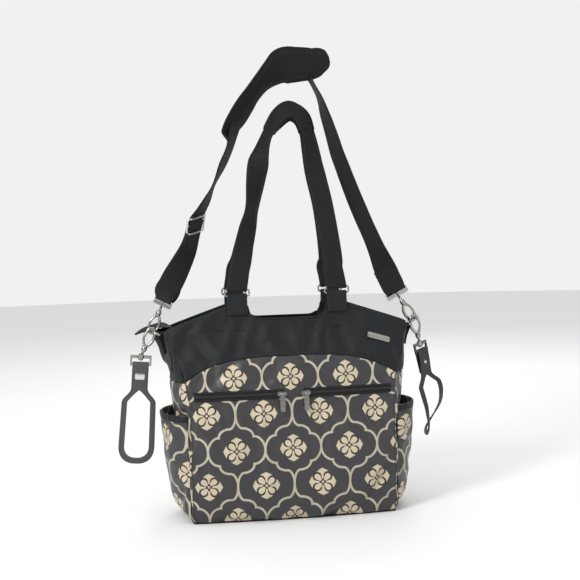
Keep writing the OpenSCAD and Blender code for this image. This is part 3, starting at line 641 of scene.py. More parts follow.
def column_heights(s, on_front):
    """Heights of a column of the shell: level rows, then rows that fan out to the arc and the top edge."""
    low = yoke_low(s) if on_front else ARC_Z - ARC_DROP
    top = yoke_top(s) if on_front else SIDE_Z - 6 * (1 - s * s)
    fan = LEVELS[-1] + (low - LEVELS[-1]) * np.arange(1, ARC_ROWS + 1) / ARC_ROWS
    yoke = low + (top - low) * np.arange(1, YOKE_ROWS + 1) / YOKE_ROWS
    return np.concatenate([LEVELS, fan, yoke])


def shell_grid():
    """The whole outside of the bag as one closed grid, from the front's left seam round to it again."""
    columns, pins, starts = [], [], []
    for face in range(4):
        starts.append(len(columns))
        shares = FRONT_SHARES if face % 2 == 0 else SIDE_SHARES
        for s in shares[:-1]:
            z = column_heights(s, face % 2 == 0)
            columns.append(skin(face, s, z))
            pins.append(pin_weights(face, s, z))
    return np.array(columns).transpose(1, 0, 2), np.array(pins).T, starts


def pin_weights(face, s, z):
    """Where the shell can't move: seams, base, arc, top edge, zips, nameplate and the fittings' places."""
    weight = np.zeros(len(z))
    weight[z < 3] = 1
    weight[PANEL_ROWS - 1] = 1
    weight[-2:] = 1
    if abs(s) == 1:
        weight[:] = 1
    zips, plate = (np.abs(z - ZIP_Z) < 11) & (0.06 < abs(s) < 0.97), (z > 264) & (z < 292)
    handle_tab, d_ring_tab = z > 318, z > 258
    if face == FRONT:
        weight[zips] = 1
        if 0.6 < s < 0.93:
            weight[plate] = 1
    if face % 2 == 0 and 0.28 < abs(s) < 0.55:
        weight[handle_tab] = 1
    if face % 2 == 1 and abs(s) < 0.5:
        weight[d_ring_tab] = 1
    return weight


# Soft creases: where each starts and ends across and up the panel, its depth and its half width
CREASES = (
    (-152, 188, -118, 138, 3.2, 7), (55, 176, 122, 122, 3.4, 9), (118, 172, 152, 98, 4.0, 8),
    (-36, 158, -92, 82, 2.8, 11), (28, 98, 102, 42, 2.8, 11), (-154, 112, -112, 38, 3.4, 9),
    (-14, 74, -62, 24, 2.2, 8), (152, 84, 112, 20, 3.2, 8), (-60, 184, 12, 150, 2.4, 8),
    (-100, 240, -60, 214, 2.6, 7), (20, 246, 62, 216, 2.6, 7), (100, 232, 136, 214, 2.4, 6),
    (-74, 316, -96, 236, 2.6, 8), (74, 316, 94, 244, 2.6, 8), (-152, 292, -118, 240, 2.4, 8),
    (128, 300, 168, 244, 2.6, 8), (-24, 306, 8, 262, 2.0, 12), (44, 308, 24, 264, 2.0, 9))


def creased(grid, pins):
    """The shell with its creases pressed in. The back has the front's creases the other way round."""
    out = grid_normals(grid, wrap=True)
    x, z = grid[..., 0] * np.where(grid[..., 1] < 0, 1, 1.08), grid[..., 2]
    side = np.abs(grid[..., 0]) > table(SEAM_HALF_W, z) - 1.5
    x = np.where(side, grid[..., 1] * 2.1 + np.sign(grid[..., 0]) * 20, x)
    depth = 0 * x
    for x0, z0, x1, z1, deep, wide in CREASES:
        run = np.array([x1 - x0, z1 - z0])
        share = ((x - x0) * run[0] + (z - z0) * run[1]) / (run @ run)
        away = np.abs((x - x0) * run[1] - (z - z0) * run[0]) / np.linalg.norm(run)
        fade = np.clip(np.minimum(share, 1 - share) * 4 + 0.35, 0, 1)
        valley, rim = np.exp(-((away / wide) ** 2)), np.exp(-(((away - 1.9 * wide) / wide) ** 2))
        depth += deep * fade * (valley - 0.55 * rim)
    return grid - out * (depth * (1 - np.clip(pins, 0, 1)))[..., None]


flat_shell, shell_pins, starts = shell_grid()
shell = np.where(shell_pins[..., None] > 0, flat_shell, ruffle(flat_shell, 3.2, 36.0, 5.0))
shell = creased(shell, shell_pins)
shell = drape(shell, shell_pins, 0.022, 1.3, 10.0, wrap=True)
shell_ends = starts + [shell.shape[1]]


def face_columns(face):
    """The shell's columns that make one face, with both of its seams."""
    return np.arange(shell_ends[face], shell_ends[face + 1] + 1) % shell.shape[1]


def shell_part(face, low, high):
    """The rows low to high of one face of the shell, with both of its seams."""
    return shell[low:high, face_columns(face)]


def sewn_panel(name, face, low, high, material, slot, shift):
    """One sewn panel: its edges turn in at the seams, and it has its own flat layout."""
    grid = shell_part(face, low, high).copy()
    rows, cols = grid.shape[:2]
    inward = grid_normals(grid)
    near_row = np.minimum(np.arange(rows), np.arange(rows)[::-1])[:, None]
    near_col = np.minimum(np.arange(cols), np.arange(cols)[::-1])[None]
    dip = np.where(near_col == 0, SEAM_DIP, 0.0)
    if high < len(shell):
        dip = np.maximum(dip, np.where(near_row == 0, ARC_DIP, 0.0))
    if face == FRONT and low == 0:
        dip = np.maximum(dip, zip_dip())
    grid = grid - inward * dip[..., None]
    turn = -1 if face > RIGHT else 1
    along = grid[..., 0 if face % 2 == 0 else 1] * turn
    piece = sheet(name, grid, material, along + shift[0], grid[..., 2] + shift[1])
    ride(subdivide(thicken(piece, PANEL_THICK)), "bag", slot, name)


def zip_dip():
    """The front panel is pressed in a little under the zip tapes."""
    z = LEVELS[:, None]
    s = np.abs(FRONT_SHARES)[None]
    dip = 0.7 * (np.abs(z - ZIP_Z) < 7) * (s > 0.08) * (s < 0.95)
    return np.concatenate([dip, np.zeros((ARC_ROWS, len(FRONT_SHARES)))])


def build_shell():
    printed = (("front_panel", FRONT, (3.5, -5.6)), ("back_panel", BACK, (3.5, -5.6)),
               ("right_gusset", RIGHT, (22.0, 12.0)), ("left_gusset", LEFT, (22.0, 12.0)))
    for name, face, shift in printed:
        sewn_panel(name, face, 0, PANEL_ROWS, PRINT, "print_fabric", shift)
    for name, face in (("front_yoke", FRONT), ("back_yoke", BACK),
                       ("right_side_yoke", RIGHT), ("left_side_yoke", LEFT)):
        sewn_panel(name, face, PANEL_ROWS - 1, len(shell), YOKE, "black_fabric", (0, 0))


def shell_line(face, row, lift):
    """A line along a row of the shell's face, from seam to seam. The row need not be whole."""
    grid = shell_part(face, 0, len(shell))
    return lifted(grid, [(row, c) for c in range(1, grid.shape[1] - 1)], lift)


def shell_column(face, column, lift, low, high):
    """A line up the shell's face beside a seam, between two rows."""
    return lifted(shell_part(face, 0, len(shell)), [(r, column) for r in range(low, high)], lift)


def build_seam_stitching():
    lines = []
    last_front, last_side = len(FRONT_SHARES) - 1, len(SIDE_SHARES) - 1
    for face, last in ((FRONT, last_front), (BACK, last_front), (RIGHT, last_side), (LEFT, last_side)):
        lines.append(shell_line(face, PANEL_ROWS - 1 + 0.55, 0.35))
        for column in (0.62, last - 0.62):
            lines.append(shell_column(face, column, 0.3, PANEL_ROWS, len(shell) - 1))
    for face in (FRONT, BACK):
        lines.append(shell_line(face, len(shell) - 1.75, 0.35))
    stitches("yoke_stitching", lines, "bag", "webbing")
    lines = [shell_column(face, c, 0.3, 2, PANEL_ROWS - 1)
             for face in (FRONT, BACK) for c in (0.55, last_front - 0.55)]
    stitches("side_seam_stitching", lines, "bag", "webbing")


build_shell()
build_seam_stitching()


# ---------------------------------------------------------------- base, lining and closure
def turn_round(z, off, per_face):
    """Points once round the bag at a height."""
    shares = np.linspace(-1, 1, per_face + 1)[:-1]
    return np.concatenate([skin(face, shares, z, off) for face in range(4)])


def filled_outline(outline, rings):
    """A grid of points from an outline to its middle."""
    middle = outline.mean(0)
    return np.array([middle + (outline - middle) * t for t in np.linspace(1, 0.02, rings)])


def build_base():
    grid = filled_outline(turn_round(0, -0.6, 20), 12)
    lift = np.array([noise.noise(Vector(p) / 60) for p in grid.reshape(-1, 3)]).reshape(grid.shape[:2])
    grid[..., 2] = 0.3 + 0.5 * np.clip(lift, 0, 1)
    rows, cols = grid.shape[:2]
    faces = flipped(grid_faces(rows, cols, wrap=True)) + [ring_face((rows - 1) * cols, cols, True)]
    base = mesh_piece("base_panel", grid.reshape(-1, 3), faces, YOKE, layout(grid[..., 0], grid[..., 1]))
    thicken(base, 1.8).modifiers["Thickness"].use_even_offset = False
    ride(base, "bag", "black_fabric", "base_panel")
    binding = tube("base_binding", turn_round(1.6, 0.0, 24), 1.5, WEB, closed=True)
    ride(binding, "bag", "webbing", "base_binding")


def settled_face(face, shares, zs, off):
    """Points inside one face, moved as far as the shell has settled there."""
    index = face_columns(face)
    own = FRONT_SHARES if face % 2 == 0 else SIDE_SHARES
    moved = shell[:, index] - flat_shell[:, index]
    rows = []
    for z, o in zip(zs, off):
        here = np.array([[np.interp(z, flat_shell[:, k, 2], moved[:, c, axis]) for axis in range(3)]
                         for c, k in enumerate(index)])
        rows.append(skin(face, shares, z, o) + np.stack([np.interp(shares, own, h) for h in here.T], 1))
    return np.array(rows)


def build_lining():
    """One sleeve of thin cloth just inside the walls and the base board, closed at the bottom."""
    zs = np.array([7, 9, 14, *range(30, 191, 20), *range(205, 281, 15), 296])
    off = np.full(len(zs), -7.2)
    off[:2] = (-22, -11)
    shares = np.linspace(-1, 1, 33)[:-1]
    walls = np.concatenate([settled_face(face, shares, zs, off) for face in range(4)], axis=1)
    walls[:, :, 2] = zs[:, None]
    walls[2:-1] = ruffle(walls[2:-1], 1.6, 30.0, 9.0)
    rows, cols = walls.shape[:2]
    faces = grid_faces(rows, cols, wrap=True) + [ring_face(0, cols, True)]
    flat = layout(np.arange(cols)[None] * 15.0, walls[..., 2])
    piece = mesh_piece("lining", walls.reshape(-1, 3), faces, LINING, flat)
    thicken(piece, 0.8).modifiers["Thickness"].use_even_offset = False
    ride(piece, "bag", "lining_fabric", "lining")


def face_sheet(name, face, shares, zs, off, material, thick, wobble=0.0):
    """A thin sheet that lies along one face of the bag."""
    grid = np.array([skin(face, shares, z, off) for z in zs])
    if wobble:
        grid[1:-1, 1:-1] = ruffle(grid, wobble, 26.0, 2.0)[1:-1, 1:-1]
    return thicken(sheet(name, grid, material, shares * 165.0, grid[..., 2]), thick)


def build_front_zips():
    half, edge = TAPE_W / 2, 1.6

    def place(s, w):
        return skin(FRONT, s, ZIP_Z + w, 1.15)

    def outward(s):
        return skin(FRONT, s, ZIP_Z, 1.0) - skin(FRONT, s, ZIP_Z, 0.0)

    for side, start, end in (("left", -0.94, -0.1), ("right", 0.1, 0.94)):
        shares = np.linspace(start, end, 30)
        heights = np.linspace(24, ZIP_Z, 12)
        bag = face_sheet(f"{side}_pocket_bag", FRONT, shares, heights, -4.6, LINING, 0.5, 0.5)
        ride(bag, "bag", "lining_fabric", "front_pocket_bags" if side == "left" else "")
        name = f"{side}_front_zip_tape"
        tape = face_sheet(name, FRONT, shares, np.linspace(ZIP_Z - half, ZIP_Z + half, 9), 1.0, TAPE, 0.7)
        ride(tape, "bag", "zip_tape", name)
        lines = []
        for z in (ZIP_Z - half + edge, ZIP_Z + half - edge):
            line = skin(FRONT, shares, z, 1.1)
            lines.append((line, skin(FRONT, shares, z, 2.1) - line))
        stitches(f"{side}_zip_stitching", lines, "bag", "webbing")
        zip_chain(f"{side}_zip_teeth", place, outward, start, end, 137.0)


def zip_chain(name, place, outward, start, end, long, pitch=1.35, reach=2.3):
    """Two rows of moulded teeth that mesh along a line from start to end."""
    points, faces = [], []
    corners = ((-1, -0.35), (1, -0.35), (1, 1), (-1, 1))
    count = int(long / pitch)
    for k in range(count):
        side = 1 if k % 2 else -1
        at = start + (end - start) * (k + 0.5) / count
        step = (end - start) / count * 0.42
        up = unit(outward(at))
        first = len(points)
        for level, shrink in ((0.0, 1.0), (0.75, 0.92), (1.05, 0.55)):
            for along, across in corners:
                width = side * across * reach * (shrink if across > 0 else 1)
                points.append(place(at + along * step * shrink, width) + up * level)
        faces += grid_faces(3, 4, first, wrap=True) + [ring_face(first + 8, 4)]
    ride(mesh_piece(name, points, faces, TEETH), "bag", "zip_tape")


def build_closure():
    """The top closure: two flaps, the main zip between them and its loose, capped end."""
    half_tape, top_half, tape_z, stitch_y = 12.5, 193.0, CLOSURE_Z + 1.2, 9.5
    xs = np.linspace(-CLOSURE_REACH, CLOSURE_REACH, 40)
    seam, middle = table(SEAM_HALF_D, CLOSURE_Z), table(MIDDLE_HALF_D, CLOSURE_Z)
    edge = np.interp(np.abs(xs) / top_half, (0, 1), (1, 0))
    depth = seam + (middle - seam) * (1 - (xs / top_half) ** 2) - 3.2
    shares = np.linspace(0, 1, 9)
    arch = np.sin(math.pi * shares)[:, None]
    for side, name, replaced in ((-1, "front_flap", "top_closure"), (1, "back_flap", "")):
        y = side * (half_tape - 1 + (depth - half_tape + 1)[None] * shares[:, None])
        sag = -3.0 * arch * (0.6 + 0.4 * edge[None])
        z = CLOSURE_Z + 0.5 + sag + 0.5 * np.sin(xs / 9.0)[None] * arch
        grid = np.stack([np.broadcast_to(xs, y.shape), y, z], -1)[:, ::-side]
        flap = sheet(name, grid, YOKE, grid[..., 0], grid[..., 1], flip=True)
        ride(thicken(flap, 1.0), "bag", "black_fabric", replaced)
    width = np.linspace(-half_tape, half_tape, 9)
    grid = np.stack(np.broadcast_arrays(xs[None], width[:, None], np.array(tape_z)), -1)
    tape = sheet("main_zip_tape", grid, TAPE, grid[..., 0], grid[..., 1])
    ride(thicken(tape, 0.8), "bag", "zip_tape", "main_zip_tape")
    zip_chain("main_zip_teeth", lambda x, w: np.array([x, w, tape_z]), lambda x: Z,
              -ZIP_REACH, ZIP_REACH, 2 * ZIP_REACH, 2.0, 2.8)
    lines = [(np.stack(np.broadcast_arrays(xs, y, CLOSURE_Z + 1.3), -1), np.tile(Z, (len(xs), 1)))
             for y in (-stitch_y, stitch_y)]
    stitches("main_zip_stitching", lines, "bag", "webbing")
    tail = Route(TAIL_ROUTE, 8)
    ride(band("main_zip_tail", tail, 2.0, WEB, wave=0.8), "bag", "webbing", "main_zip_tail")
    stitches("zip_tail_stitching", [tail.line(s, 1.15, 8, -6) for s in (-2.5, 2.5)], "bag", "webbing")


TAIL_ROUTE = [((-190, 6, 303.6), (0, 1, 0.1), 22), ((-202, 21, 307), (0.1, 1, 0.3), 21),
              ((-214, 25, 304), (0.1, 1, 0.4), 19), ((-229, 25, 299), (0.1, 1, 0.4), 15),
              ((-242, 22, 293), (0.1, 1, 0.4), 3)]

build_base()
build_lining()
build_front_zips()
build_closure()


# ---------------------------------------------------------------- side pockets
POCKET_SHARES = np.linspace(-0.94, 0.94, 33)
POCKET_LEVELS = np.concatenate([[7, 10, 14, 19, 25], np.arange(31, 158, 5.6), [161, 165, 169, 172]])
POCKET_HALF_FLAT, POCKET_SHIFT = 78, (16, 30)  # the flat cloth's half width, and where the print starts


def pocket_off(s, z):
    """How far a side pocket stands off the gusset."""
    return 0.4 + np.interp(z, *POCKET_BULGE) * np.maximum(0, 1 - (s / 0.941) ** 2) ** 0.6


def build_pocket(side, face, seed):
    """A full pocket with a gathered mouth, its elastic hem and the hem's row of stitches."""
    grid = np.array([skin(face, POCKET_SHARES, z, pocket_off(POCKET_SHARES, z)) for z in POCKET_LEVELS])
    pins = np.zeros(grid.shape[:2])
    pins[:2] = pins[:, 0] = pins[:, -1] = pins[-4:] = 1
    grid = np.where(pins[..., None] > 0, grid, ruffle(grid, 2.5, 22.0, seed))
    grid = drape(grid, pins, 0.02, 0.8, 7.0)
    gather = np.clip((POCKET_LEVELS - 120) / 45, 0, 1)[:, None] ** 1.5
    pleat = np.sin(POCKET_SHARES * 46 + seed) + 0.6 * np.sin(POCKET_SHARES * 71 + 2 * seed)
    fade = np.clip((0.94 - np.abs(POCKET_SHARES)) * 6, 0, 1)
    grid += grid_normals(grid) * (gather * 0.9 * (pleat * fade)[None])[..., None]
    out = grid_normals(grid)
    name, across, heights = f"{side}_side_pocket", POCKET_SHARES * POCKET_HALF_FLAT, POCKET_LEVELS[:, None]
    piece = sheet(name, grid, PRINT, across + POCKET_SHIFT[0], heights + POCKET_SHIFT[1])
    ride(subdivide(thicken(piece, 1.5)), "bag", "print_fabric", name)
    hem = grid[-4:] + out[-4:] * 1.1
    hem[-1] -= out[-1] * 0.6
    piece = sheet(f"{side}_pocket_elastic", hem, YOKE, across, heights[-4:])
    ride(subdivide(thicken(piece, 0.9)), "bag", "webbing", "pocket_elastics" if side == "left" else "")
    row, cols = len(POCKET_LEVELS) - 4.4, len(POCKET_SHARES)
    line = lifted(grid, [(row, c) for c in range(1, cols - 1)], 0.4)
    stitches(f"{side}_pocket_stitching", [line], "bag", "webbing")


def build_pockets():
    build_pocket("left", LEFT, 1.3)
    build_pocket("right", RIGHT, 4.1)


build_pockets()


# ---------------------------------------------------------------- tabs, handles and their rings
def wrap_round(centre, radius, start, turn, steps, axis_u, axis_v):
    """Points of a fold round a bar: an arc from the angle start through turn, in the plane u, v."""
    angles = np.radians(start + np.linspace(0, turn, steps))
    return [centre + radius * (math.cos(a) * axis_u + math.sin(a) * axis_v) for a in angles]


# The middle line of a fold round a wire, and how far the back handle leans to the right of the front one
FOLD_R, BACK_SWAY = WIRE_R + WEB_T / 2 + 0.15, 7


def build_tabs():
    """Each tab goes up the yoke's outside, over its ring's lower bar and down inside the bag."""
    lines = []
    for which, y, side in (("front", -TAB_Y, -1.0), ("back", TAB_Y, 1.0)):
        for hand, x in (("left", -HANDLE_X), ("right", HANDLE_X)):
            bar = np.array([x, y, RING_Z])
            out = side * Y
            outside = [bar + out * (FOLD_R + off) - Z * down for off, down in ((1.6, 30), (0.9, 17), (0, 6))]
            inside = [bar - out * (FOLD_R - off) - Z * down for off, down in ((0, 6), (0.8, 13), (1.3, 22))]
            fold = wrap_round(bar, FOLD_R, 0, 180, 7, out, Z)
            made = Route([(p, X, 31.5) for p in (*outside, *fold, *inside)], 4)
            piece = band(f"{which}_handle_tab_{hand}", made, 1.7, YOKE, wave=0.15, seed=x + y)
            ride(piece, "bag", "webbing", f"{which}_handle_tabs" if hand == "left" else "")
            lift = 1.0 * np.sign(np.dot(made.up[3], out))
            lines += [made.line(s, lift, 2, 11) for s in (-3, 3)]
    stitches("tab_stitching", lines, "bag", "webbing")


# Drawn places of the middle of the webbing, each with the direction across it
HANDLE_MIDDLE = [
    ((-70, -28, 411), (1, 0.1, 0)), ((-61, -27, 456), (0.85, 0.5, 0)), ((-53, -26, 492), (0.6, 0.8, 0)),
    ((-43, -23, 548), (0.97, 0.25, 0)), ((-32, -20, 584), (0.65, -0.7, 0)),
    ((-21, -18, 612), (0.35, -0.9, -0.2)), ((-3, -18, 636), (0.5, -0.7, -0.5)),
    ((14, -18, 646), (0, -0.6, -0.8)), ((31, -18, 636), (-0.5, -0.7, -0.5)),
    ((40, -19, 612), (-0.6, -0.75, -0.1)), ((46, -21, 580), (-0.8, -0.5, 0)),
    ((53, -24, 540), (-0.98, -0.1, 0)), ((64, -26, 486), (-1, 0, 0)), ((75, -28, 411), (-1, 0, 0))]


def handle_ends(side):
    """The webbing's way round a ring's upper bar, from its sewn tail to the start of the leg."""
    bar = np.array([side * HANDLE_X, -TAB_Y, RING_Z + RING_H])
    up = Z - X * side * 0.17
    tail = [bar + Y * (FOLD_R - off) + up * rise for off, rise in ((1.0, 28), (0.6, 15), (0, 5))]
    leg = [bar - Y * (FOLD_R - off) + up * rise for off, rise in ((0, 5), (1.2, 18), (1.6, 32))]
    points = [(p, -side * X, HANDLE_W) for p in (*tail, *wrap_round(bar, FOLD_R, 0, -180, 7, Y, Z), *leg)]
    return points if side < 0 else points[::-1]


def build_handle(which, mirror):
    """One handle: its webbing, the padded sleeve round its top, and the stitches of both."""
    body, flip, sway = f"{which}_handle", np.array([1, mirror, 1]), 0 if mirror > 0 else BACK_SWAY
    middle = [(np.array(p) + X * sway * min(1, (p[2] - 360) / 110), np.array(w, float), HANDLE_W)
              for p, w in HANDLE_MIDDLE]
    route = Route([(p * flip, w * flip, size) for p, w, size in handle_ends(-1) + middle + handle_ends(1)], 5)
    ride(band(body, route, WEB_T - 0.2, WEB, wave=0.9, seed=mirror * 2.0), body, "webbing", body)
    count = len(route.at)
    runs = ((62, count - 62), (50, 62), (count - 62, count - 50))
    lines = [route.line(s, lift, low, high)
             for low, high in runs for s in (-3.2, 3.2) for lift in (WEB_T / 2, -WEB_T / 2)]
    stitches(f"{body}_stitching", lines, body, "webbing")
    sleeve = Route([(p * flip, w * flip, 35.5) for p, w, _ in middle[4:11]], 9)
    for key in ("at", "width", "flat", "up", "far"):
        setattr(sleeve, key, getattr(sleeve, key)[9:-9])
    grip = band(f"{body}_grip", sleeve, 3.6, SLEEVE, crown=1.5, wave=1.0, seed=7.0 * mirror)
    ride(subdivide(grip), body, "black_fabric", f"{body}_grip")
    lines = [sleeve.line(s, lift, 1, -1) for s in (-3.5, 3.5) for lift in (2.6, -2.6)]
    stitches(f"{which}_grip_stitching", lines, body, "black_fabric")


build_tabs()
build_handle("front", 1)
build_handle("back", -1)


# ---------------------------------------------------------------- snap hooks' places, strap and pad
# The D-rings' bars, and how far their bows reach. Strap hooks hang behind the middle and loop hooks before it
D_BAR_X, D_BAR_Z, D_REACH = 202, 293, 15.5
HOOK_Y = np.array([0, 4.2, 0])
# From a bow to the far end of its hook, on to the fold of the end ring, and how far the webbing sinks there
BAR_REACH, RING_DROP, RING_SINK = 44, 12, 3


def lean(angle):
    """The upward direction, leaning right by an angle in degrees."""
    return np.array([math.sin(math.radians(angle)), 0, math.cos(math.radians(angle))])


def apex(side, angle):
    """The point of a D-ring's bow at an angle above the horizontal, where a hook hangs."""
    turn = math.radians(angle)
    return np.array([side * (D_BAR_X + D_REACH * math.cos(turn)), 0, D_BAR_Z + D_REACH * math.sin(turn)])


LEFT_APEX, RIGHT_APEX = apex(-1, 27), apex(1, 45)
LEFT_END = LEFT_APEX + HOOK_Y + BAR_REACH * lean(24) + RING_DROP * lean(24)
RIGHT_END = RIGHT_APEX + HOOK_Y + BAR_REACH * lean(-32) + RING_DROP * lean(-27)
LEFT_LOOP = LEFT_APEX - HOOK_Y - BAR_REACH * lean(24) - RING_DROP * lean(5)
RIGHT_LOOP = RIGHT_APEX - HOOK_Y - BAR_REACH * lean(-12) - RING_DROP * lean(-12)

# Places of the middle of the strap, each with the direction across it and the width
FRONT_LAYER = [
    ((-136, 1.4, 478), (0.52, 0.83, -0.2), 36.5), ((-139, 1.2, 468), (0.52, 0.83, -0.2), 37),
    ((-145.6, 1.6, 446), (0.56, 0.78, -0.22), 37.5), ((-155.8, 1.6, 420), (0.68, 0.65, -0.3), 38),
    ((-180.5, 1.0, 377), (0.9, 0.1, -0.4), 38)]
STRAP_MIDDLE = [
    ((-181, 4, 377), (0.9, 0.1, -0.4), 38), ((-158, 4, 420), (0.68, 0.65, -0.3), 38),
    ((-148, 4, 446), (0.56, 0.78, -0.22), 38), ((-142, 4, 469), (0.52, 0.83, -0.2), 38),
    ((-131, 4, 487), (0.42, 0.9, -0.1), 38), ((-120, 4, 505), (0.35, 0.93, 0), 38),
    ((-108, 4, 530), (0.14, 0.99, 0), 38), ((-94, 4, 561), (0.3, 0.95, -0.1), 38),
    ((-81, 3, 589), (0.3, 0.95, -0.15), 38), ((-66, 1, 638), (0.5, 0.82, -0.28), 37),
    ((-42, 2, 673), (0.5, 0.8, -0.33), 37), ((-10, 2, 706), (0.45, 0.6, -0.6), 37),
    ((10, 4, 714), (0.15, 0.4, -0.9), 38), ((34, 10, 713), (-0.05, 0.6, -0.8), 38),
    ((51, 18, 704), (0.03, 0.99, -0.1), 38), ((62, 17, 683), (0.06, 0.99, 0), 38),
    ((71, 15, 661), (-0.07, 0.99, 0), 38), ((77, 14, 640), (-0.22, 0.97, 0), 38),
    ((85, 12, 612), (-0.32, 0.95, 0), 38), ((97, 8, 569), (-0.43, 0.9, 0), 38),
    ((125, 4, 490), (-0.5, 0.85, -0.12), 38), ((154, 4, 421), (-0.56, 0.8, -0.2), 38)]
PAD_ROUTE = [
    ((-88, 2, 606), (0.36, 0.9, -0.2), 30), ((-86, 2, 609), (0.36, 0.9, -0.2), 42),
    ((-77, 1, 623), (0.42, 0.87, -0.25), 50), ((-66, 1, 638), (0.5, 0.82, -0.28), 50),
    ((-54, 1, 656), (0.52, 0.8, -0.3), 47), ((-42, 1, 673), (0.5, 0.8, -0.33), 42),
    ((-27, 1, 691), (0.5, 0.75, -0.4), 42), ((-10, 1, 706), (0.45, 0.6, -0.6), 48),
    ((8, 1, 717), (0.25, 0.4, -0.88), 57), ((32, 1, 719), (0.1, 0.3, -0.95), 53),
    ((54, 0, 720), (0, 0.3, -0.95), 48), ((68, 0, 724), (0, 0.3, -0.95), 41),
    ((79, 0, 726), (0, 0.3, -0.95), 27), ((83, 0, 727), (0, 0.3, -0.95), 9)]


def strap_end(end, up, width, narrow):
    """The strap's gathered fold round an end ring's upper bar, with the start of both layers above it."""
    front, low = unit(np.cross(narrow, up)), end - up * RING_SINK
    front = -front * np.sign(front[1])
    half_turned = width * 0.4 + narrow * 0.6
    fold = [(p, narrow, 34) for p in wrap_round(low, FOLD_R, 0, 180, 7, front, -up)]
    layer = [(end + front * (FOLD_R - 0.5) + up * 14, width, STRAP_W),
             (low + front * FOLD_R + up * 6, half_turned, 36)]
    back = [(low - front * FOLD_R + up * 6, half_turned, 36),
            (end - front * (FOLD_R - 1.2) + up * 14, width, STRAP_W)]
    return layer + fold + back


def build_end_ring(side, end, up, width):
    """A flat frame with a slot for the strap and a broad lower bar for the hook."""
    low = end - up * RING_SINK

    def loop(half, bottom, top, radius):
        corners = ((half - radius, top - radius, 0), (radius - half, top - radius, 90),
                   (radius - half, bottom + radius, 180), (half - radius, bottom + radius, 270))
        turns = [(u, v, math.radians(t) + math.radians(start))
                 for u, v, start in corners for t in (0, 22, 45, 68, 90)]
        return [low + width * (u + radius * math.cos(t)) + up * (v + radius * math.sin(t))
                for u, v, t in turns]

    name = f"{side}_strap_ring"
    points = loop(19.6, -10.8, 1.5, 2.6) + loop(17.4, -4.6, -1.4, 0.9)
    ring = mesh_piece(name, points, grid_faces(2, len(points) // 2, wrap=True), BRIGHT)
    ride(soften(thicken(ring, 2.3, 0.0), 0.5), name, "nickel", name)


def build_strap():
    """The strap from its sewn front layer round the left end ring, over the top and round the right one."""
    left_up, right_up = lean(24), lean(-27)
    left_width, right_width = np.array([0.91, 0, -0.41]), np.array([-0.89, 0, -0.45])
    twist = 0.8
    left_turned = left_width * math.cos(twist) - Y * math.sin(twist)
    start = strap_end(LEFT_END, left_up, left_width, left_turned)
    finish = strap_end(RIGHT_END, right_up, right_width, right_width)[::-1]
    build_end_ring("left", LEFT_END, left_up, left_turned)
    build_end_ring("right", RIGHT_END, right_up, right_width)
    tail = [(RIGHT_END - Y * 1.6 + right_up * 40, right_width, STRAP_W)]
    points = [*FRONT_LAYER, *start, *STRAP_MIDDLE, *finish, *tail]
    route = Route([(np.array(p, float), np.array(w, float), size) for p, w, size in points], 5)
    piece = band("shoulder_strap", route, WEB_T - 0.2, WEB, wave=0.8, seed=3.0)
    ride(piece, "shoulder_strap", "webbing", "shoulder_strap")
    count = len(route.at)
    lines = [route.line(s, lift, a, b) for a, b in ((2, 14), (count - 16, count - 3))
             for s in (-3, 3) for lift in (1.1, -1.1)]
    stitches("strap_stitching", lines, "shoulder_strap", "webbing")


def build_pad():
    """The padded sleeve on top of the strap, with piping round its edge and two rows of stitches."""
    route = Route(PAD_ROUTE, 8)
    piece = band("shoulder_pad", route, 3.2, SLEEVE, crown=3.1, wave=1.1, seed=12.0)
    ride(subdivide(piece), "shoulder_strap", "black_fabric", "shoulder_pad")
    left, right = route.line(-1.0, 0.01)[0], route.line(1.0, 0.01)[0]
    piping = tube("pad_piping", np.concatenate([left, right[::-1]]), 1.5, WEB, closed=True, sides=8)
    ride(piping, "shoulder_strap", "webbing")
    lines = [route.line(s, lift, 6, -6) for s in (-7, 7) for lift in (3.0, -3.0)]
    stitches("pad_stitching", lines, "shoulder_strap", "black_fabric")


def build_glide():
    """The slide that sets the strap's length: a frame over the strap's front layer, with a bar across."""
    middle, skew = np.array([-142, 4, 469]), math.radians(24)
    width, along = unit(np.array([0.5, 0.83, -0.2])), unit(np.array([0.36, 0.02, 0.93]))
    front = np.cross(width, along)
    u = width * math.cos(skew) + along * math.sin(skew)
    v = along * math.cos(skew) - width * math.sin(skew)
    quarter = [(-23.5, -8, 3), (-22, -11.5, 4), (-16, -12.5, 7)]
    half = quarter + [(-a, b, c) for a, b, c in quarter[::-1]]
    ring = half + [(-a, -b, c) for a, b, c in half]
    points = smooth([middle + a * u + b * v + c * front for a, b, c in ring + ring[:1]], 4)[:-1]
    ride(tube("tri_glide", points, 1.45, BRIGHT, closed=True), "shoulder_strap", "nickel", "tri_glide")
    bar = [middle + a * u + 2.6 * front for a in np.linspace(-23, 23, 6)]
    ride(tube("glide_bar", bar, 1.2, BRIGHT), "shoulder_strap", "nickel")


build_strap()
build_glide()
build_pad()


# ---------------------------------------------------------------- snap hooks
# A hook's eye from the gate's tip over the top and down to the gate's pivot, and its gate: across and up
EYE = ((6.2, -5.6), (5.9, -2.4), (4.4, 2.0), (0, 4.0), (-4.4, 2.0), (-6.7, -3), (-7.9, -9),
       (-7.4, -15.5), (-5.2, -21), (-2.2, -25.2), (0, -26.2), (2.2, -25.2), (4.6, -21.6))
GATE = ((6.1, -5.0), (7.2, -9.5), (6.9, -15), (5.2, -20.2), (4.4, -22.2))
# The round parts below the eye: height and radius
SWIVEL = ((-24.6, 1.0), (-25.2, 3.0), (-27, 4.1), (-30.5, 4.4),
          (-33.5, 4.1), (-34.6, 3.0), (-36, 2.3), (-39.5, 2.0))
POST = ((-39, 1.9), (-48.2, 1.9), (-48.4, 3.0), (-49.8, 3.0))


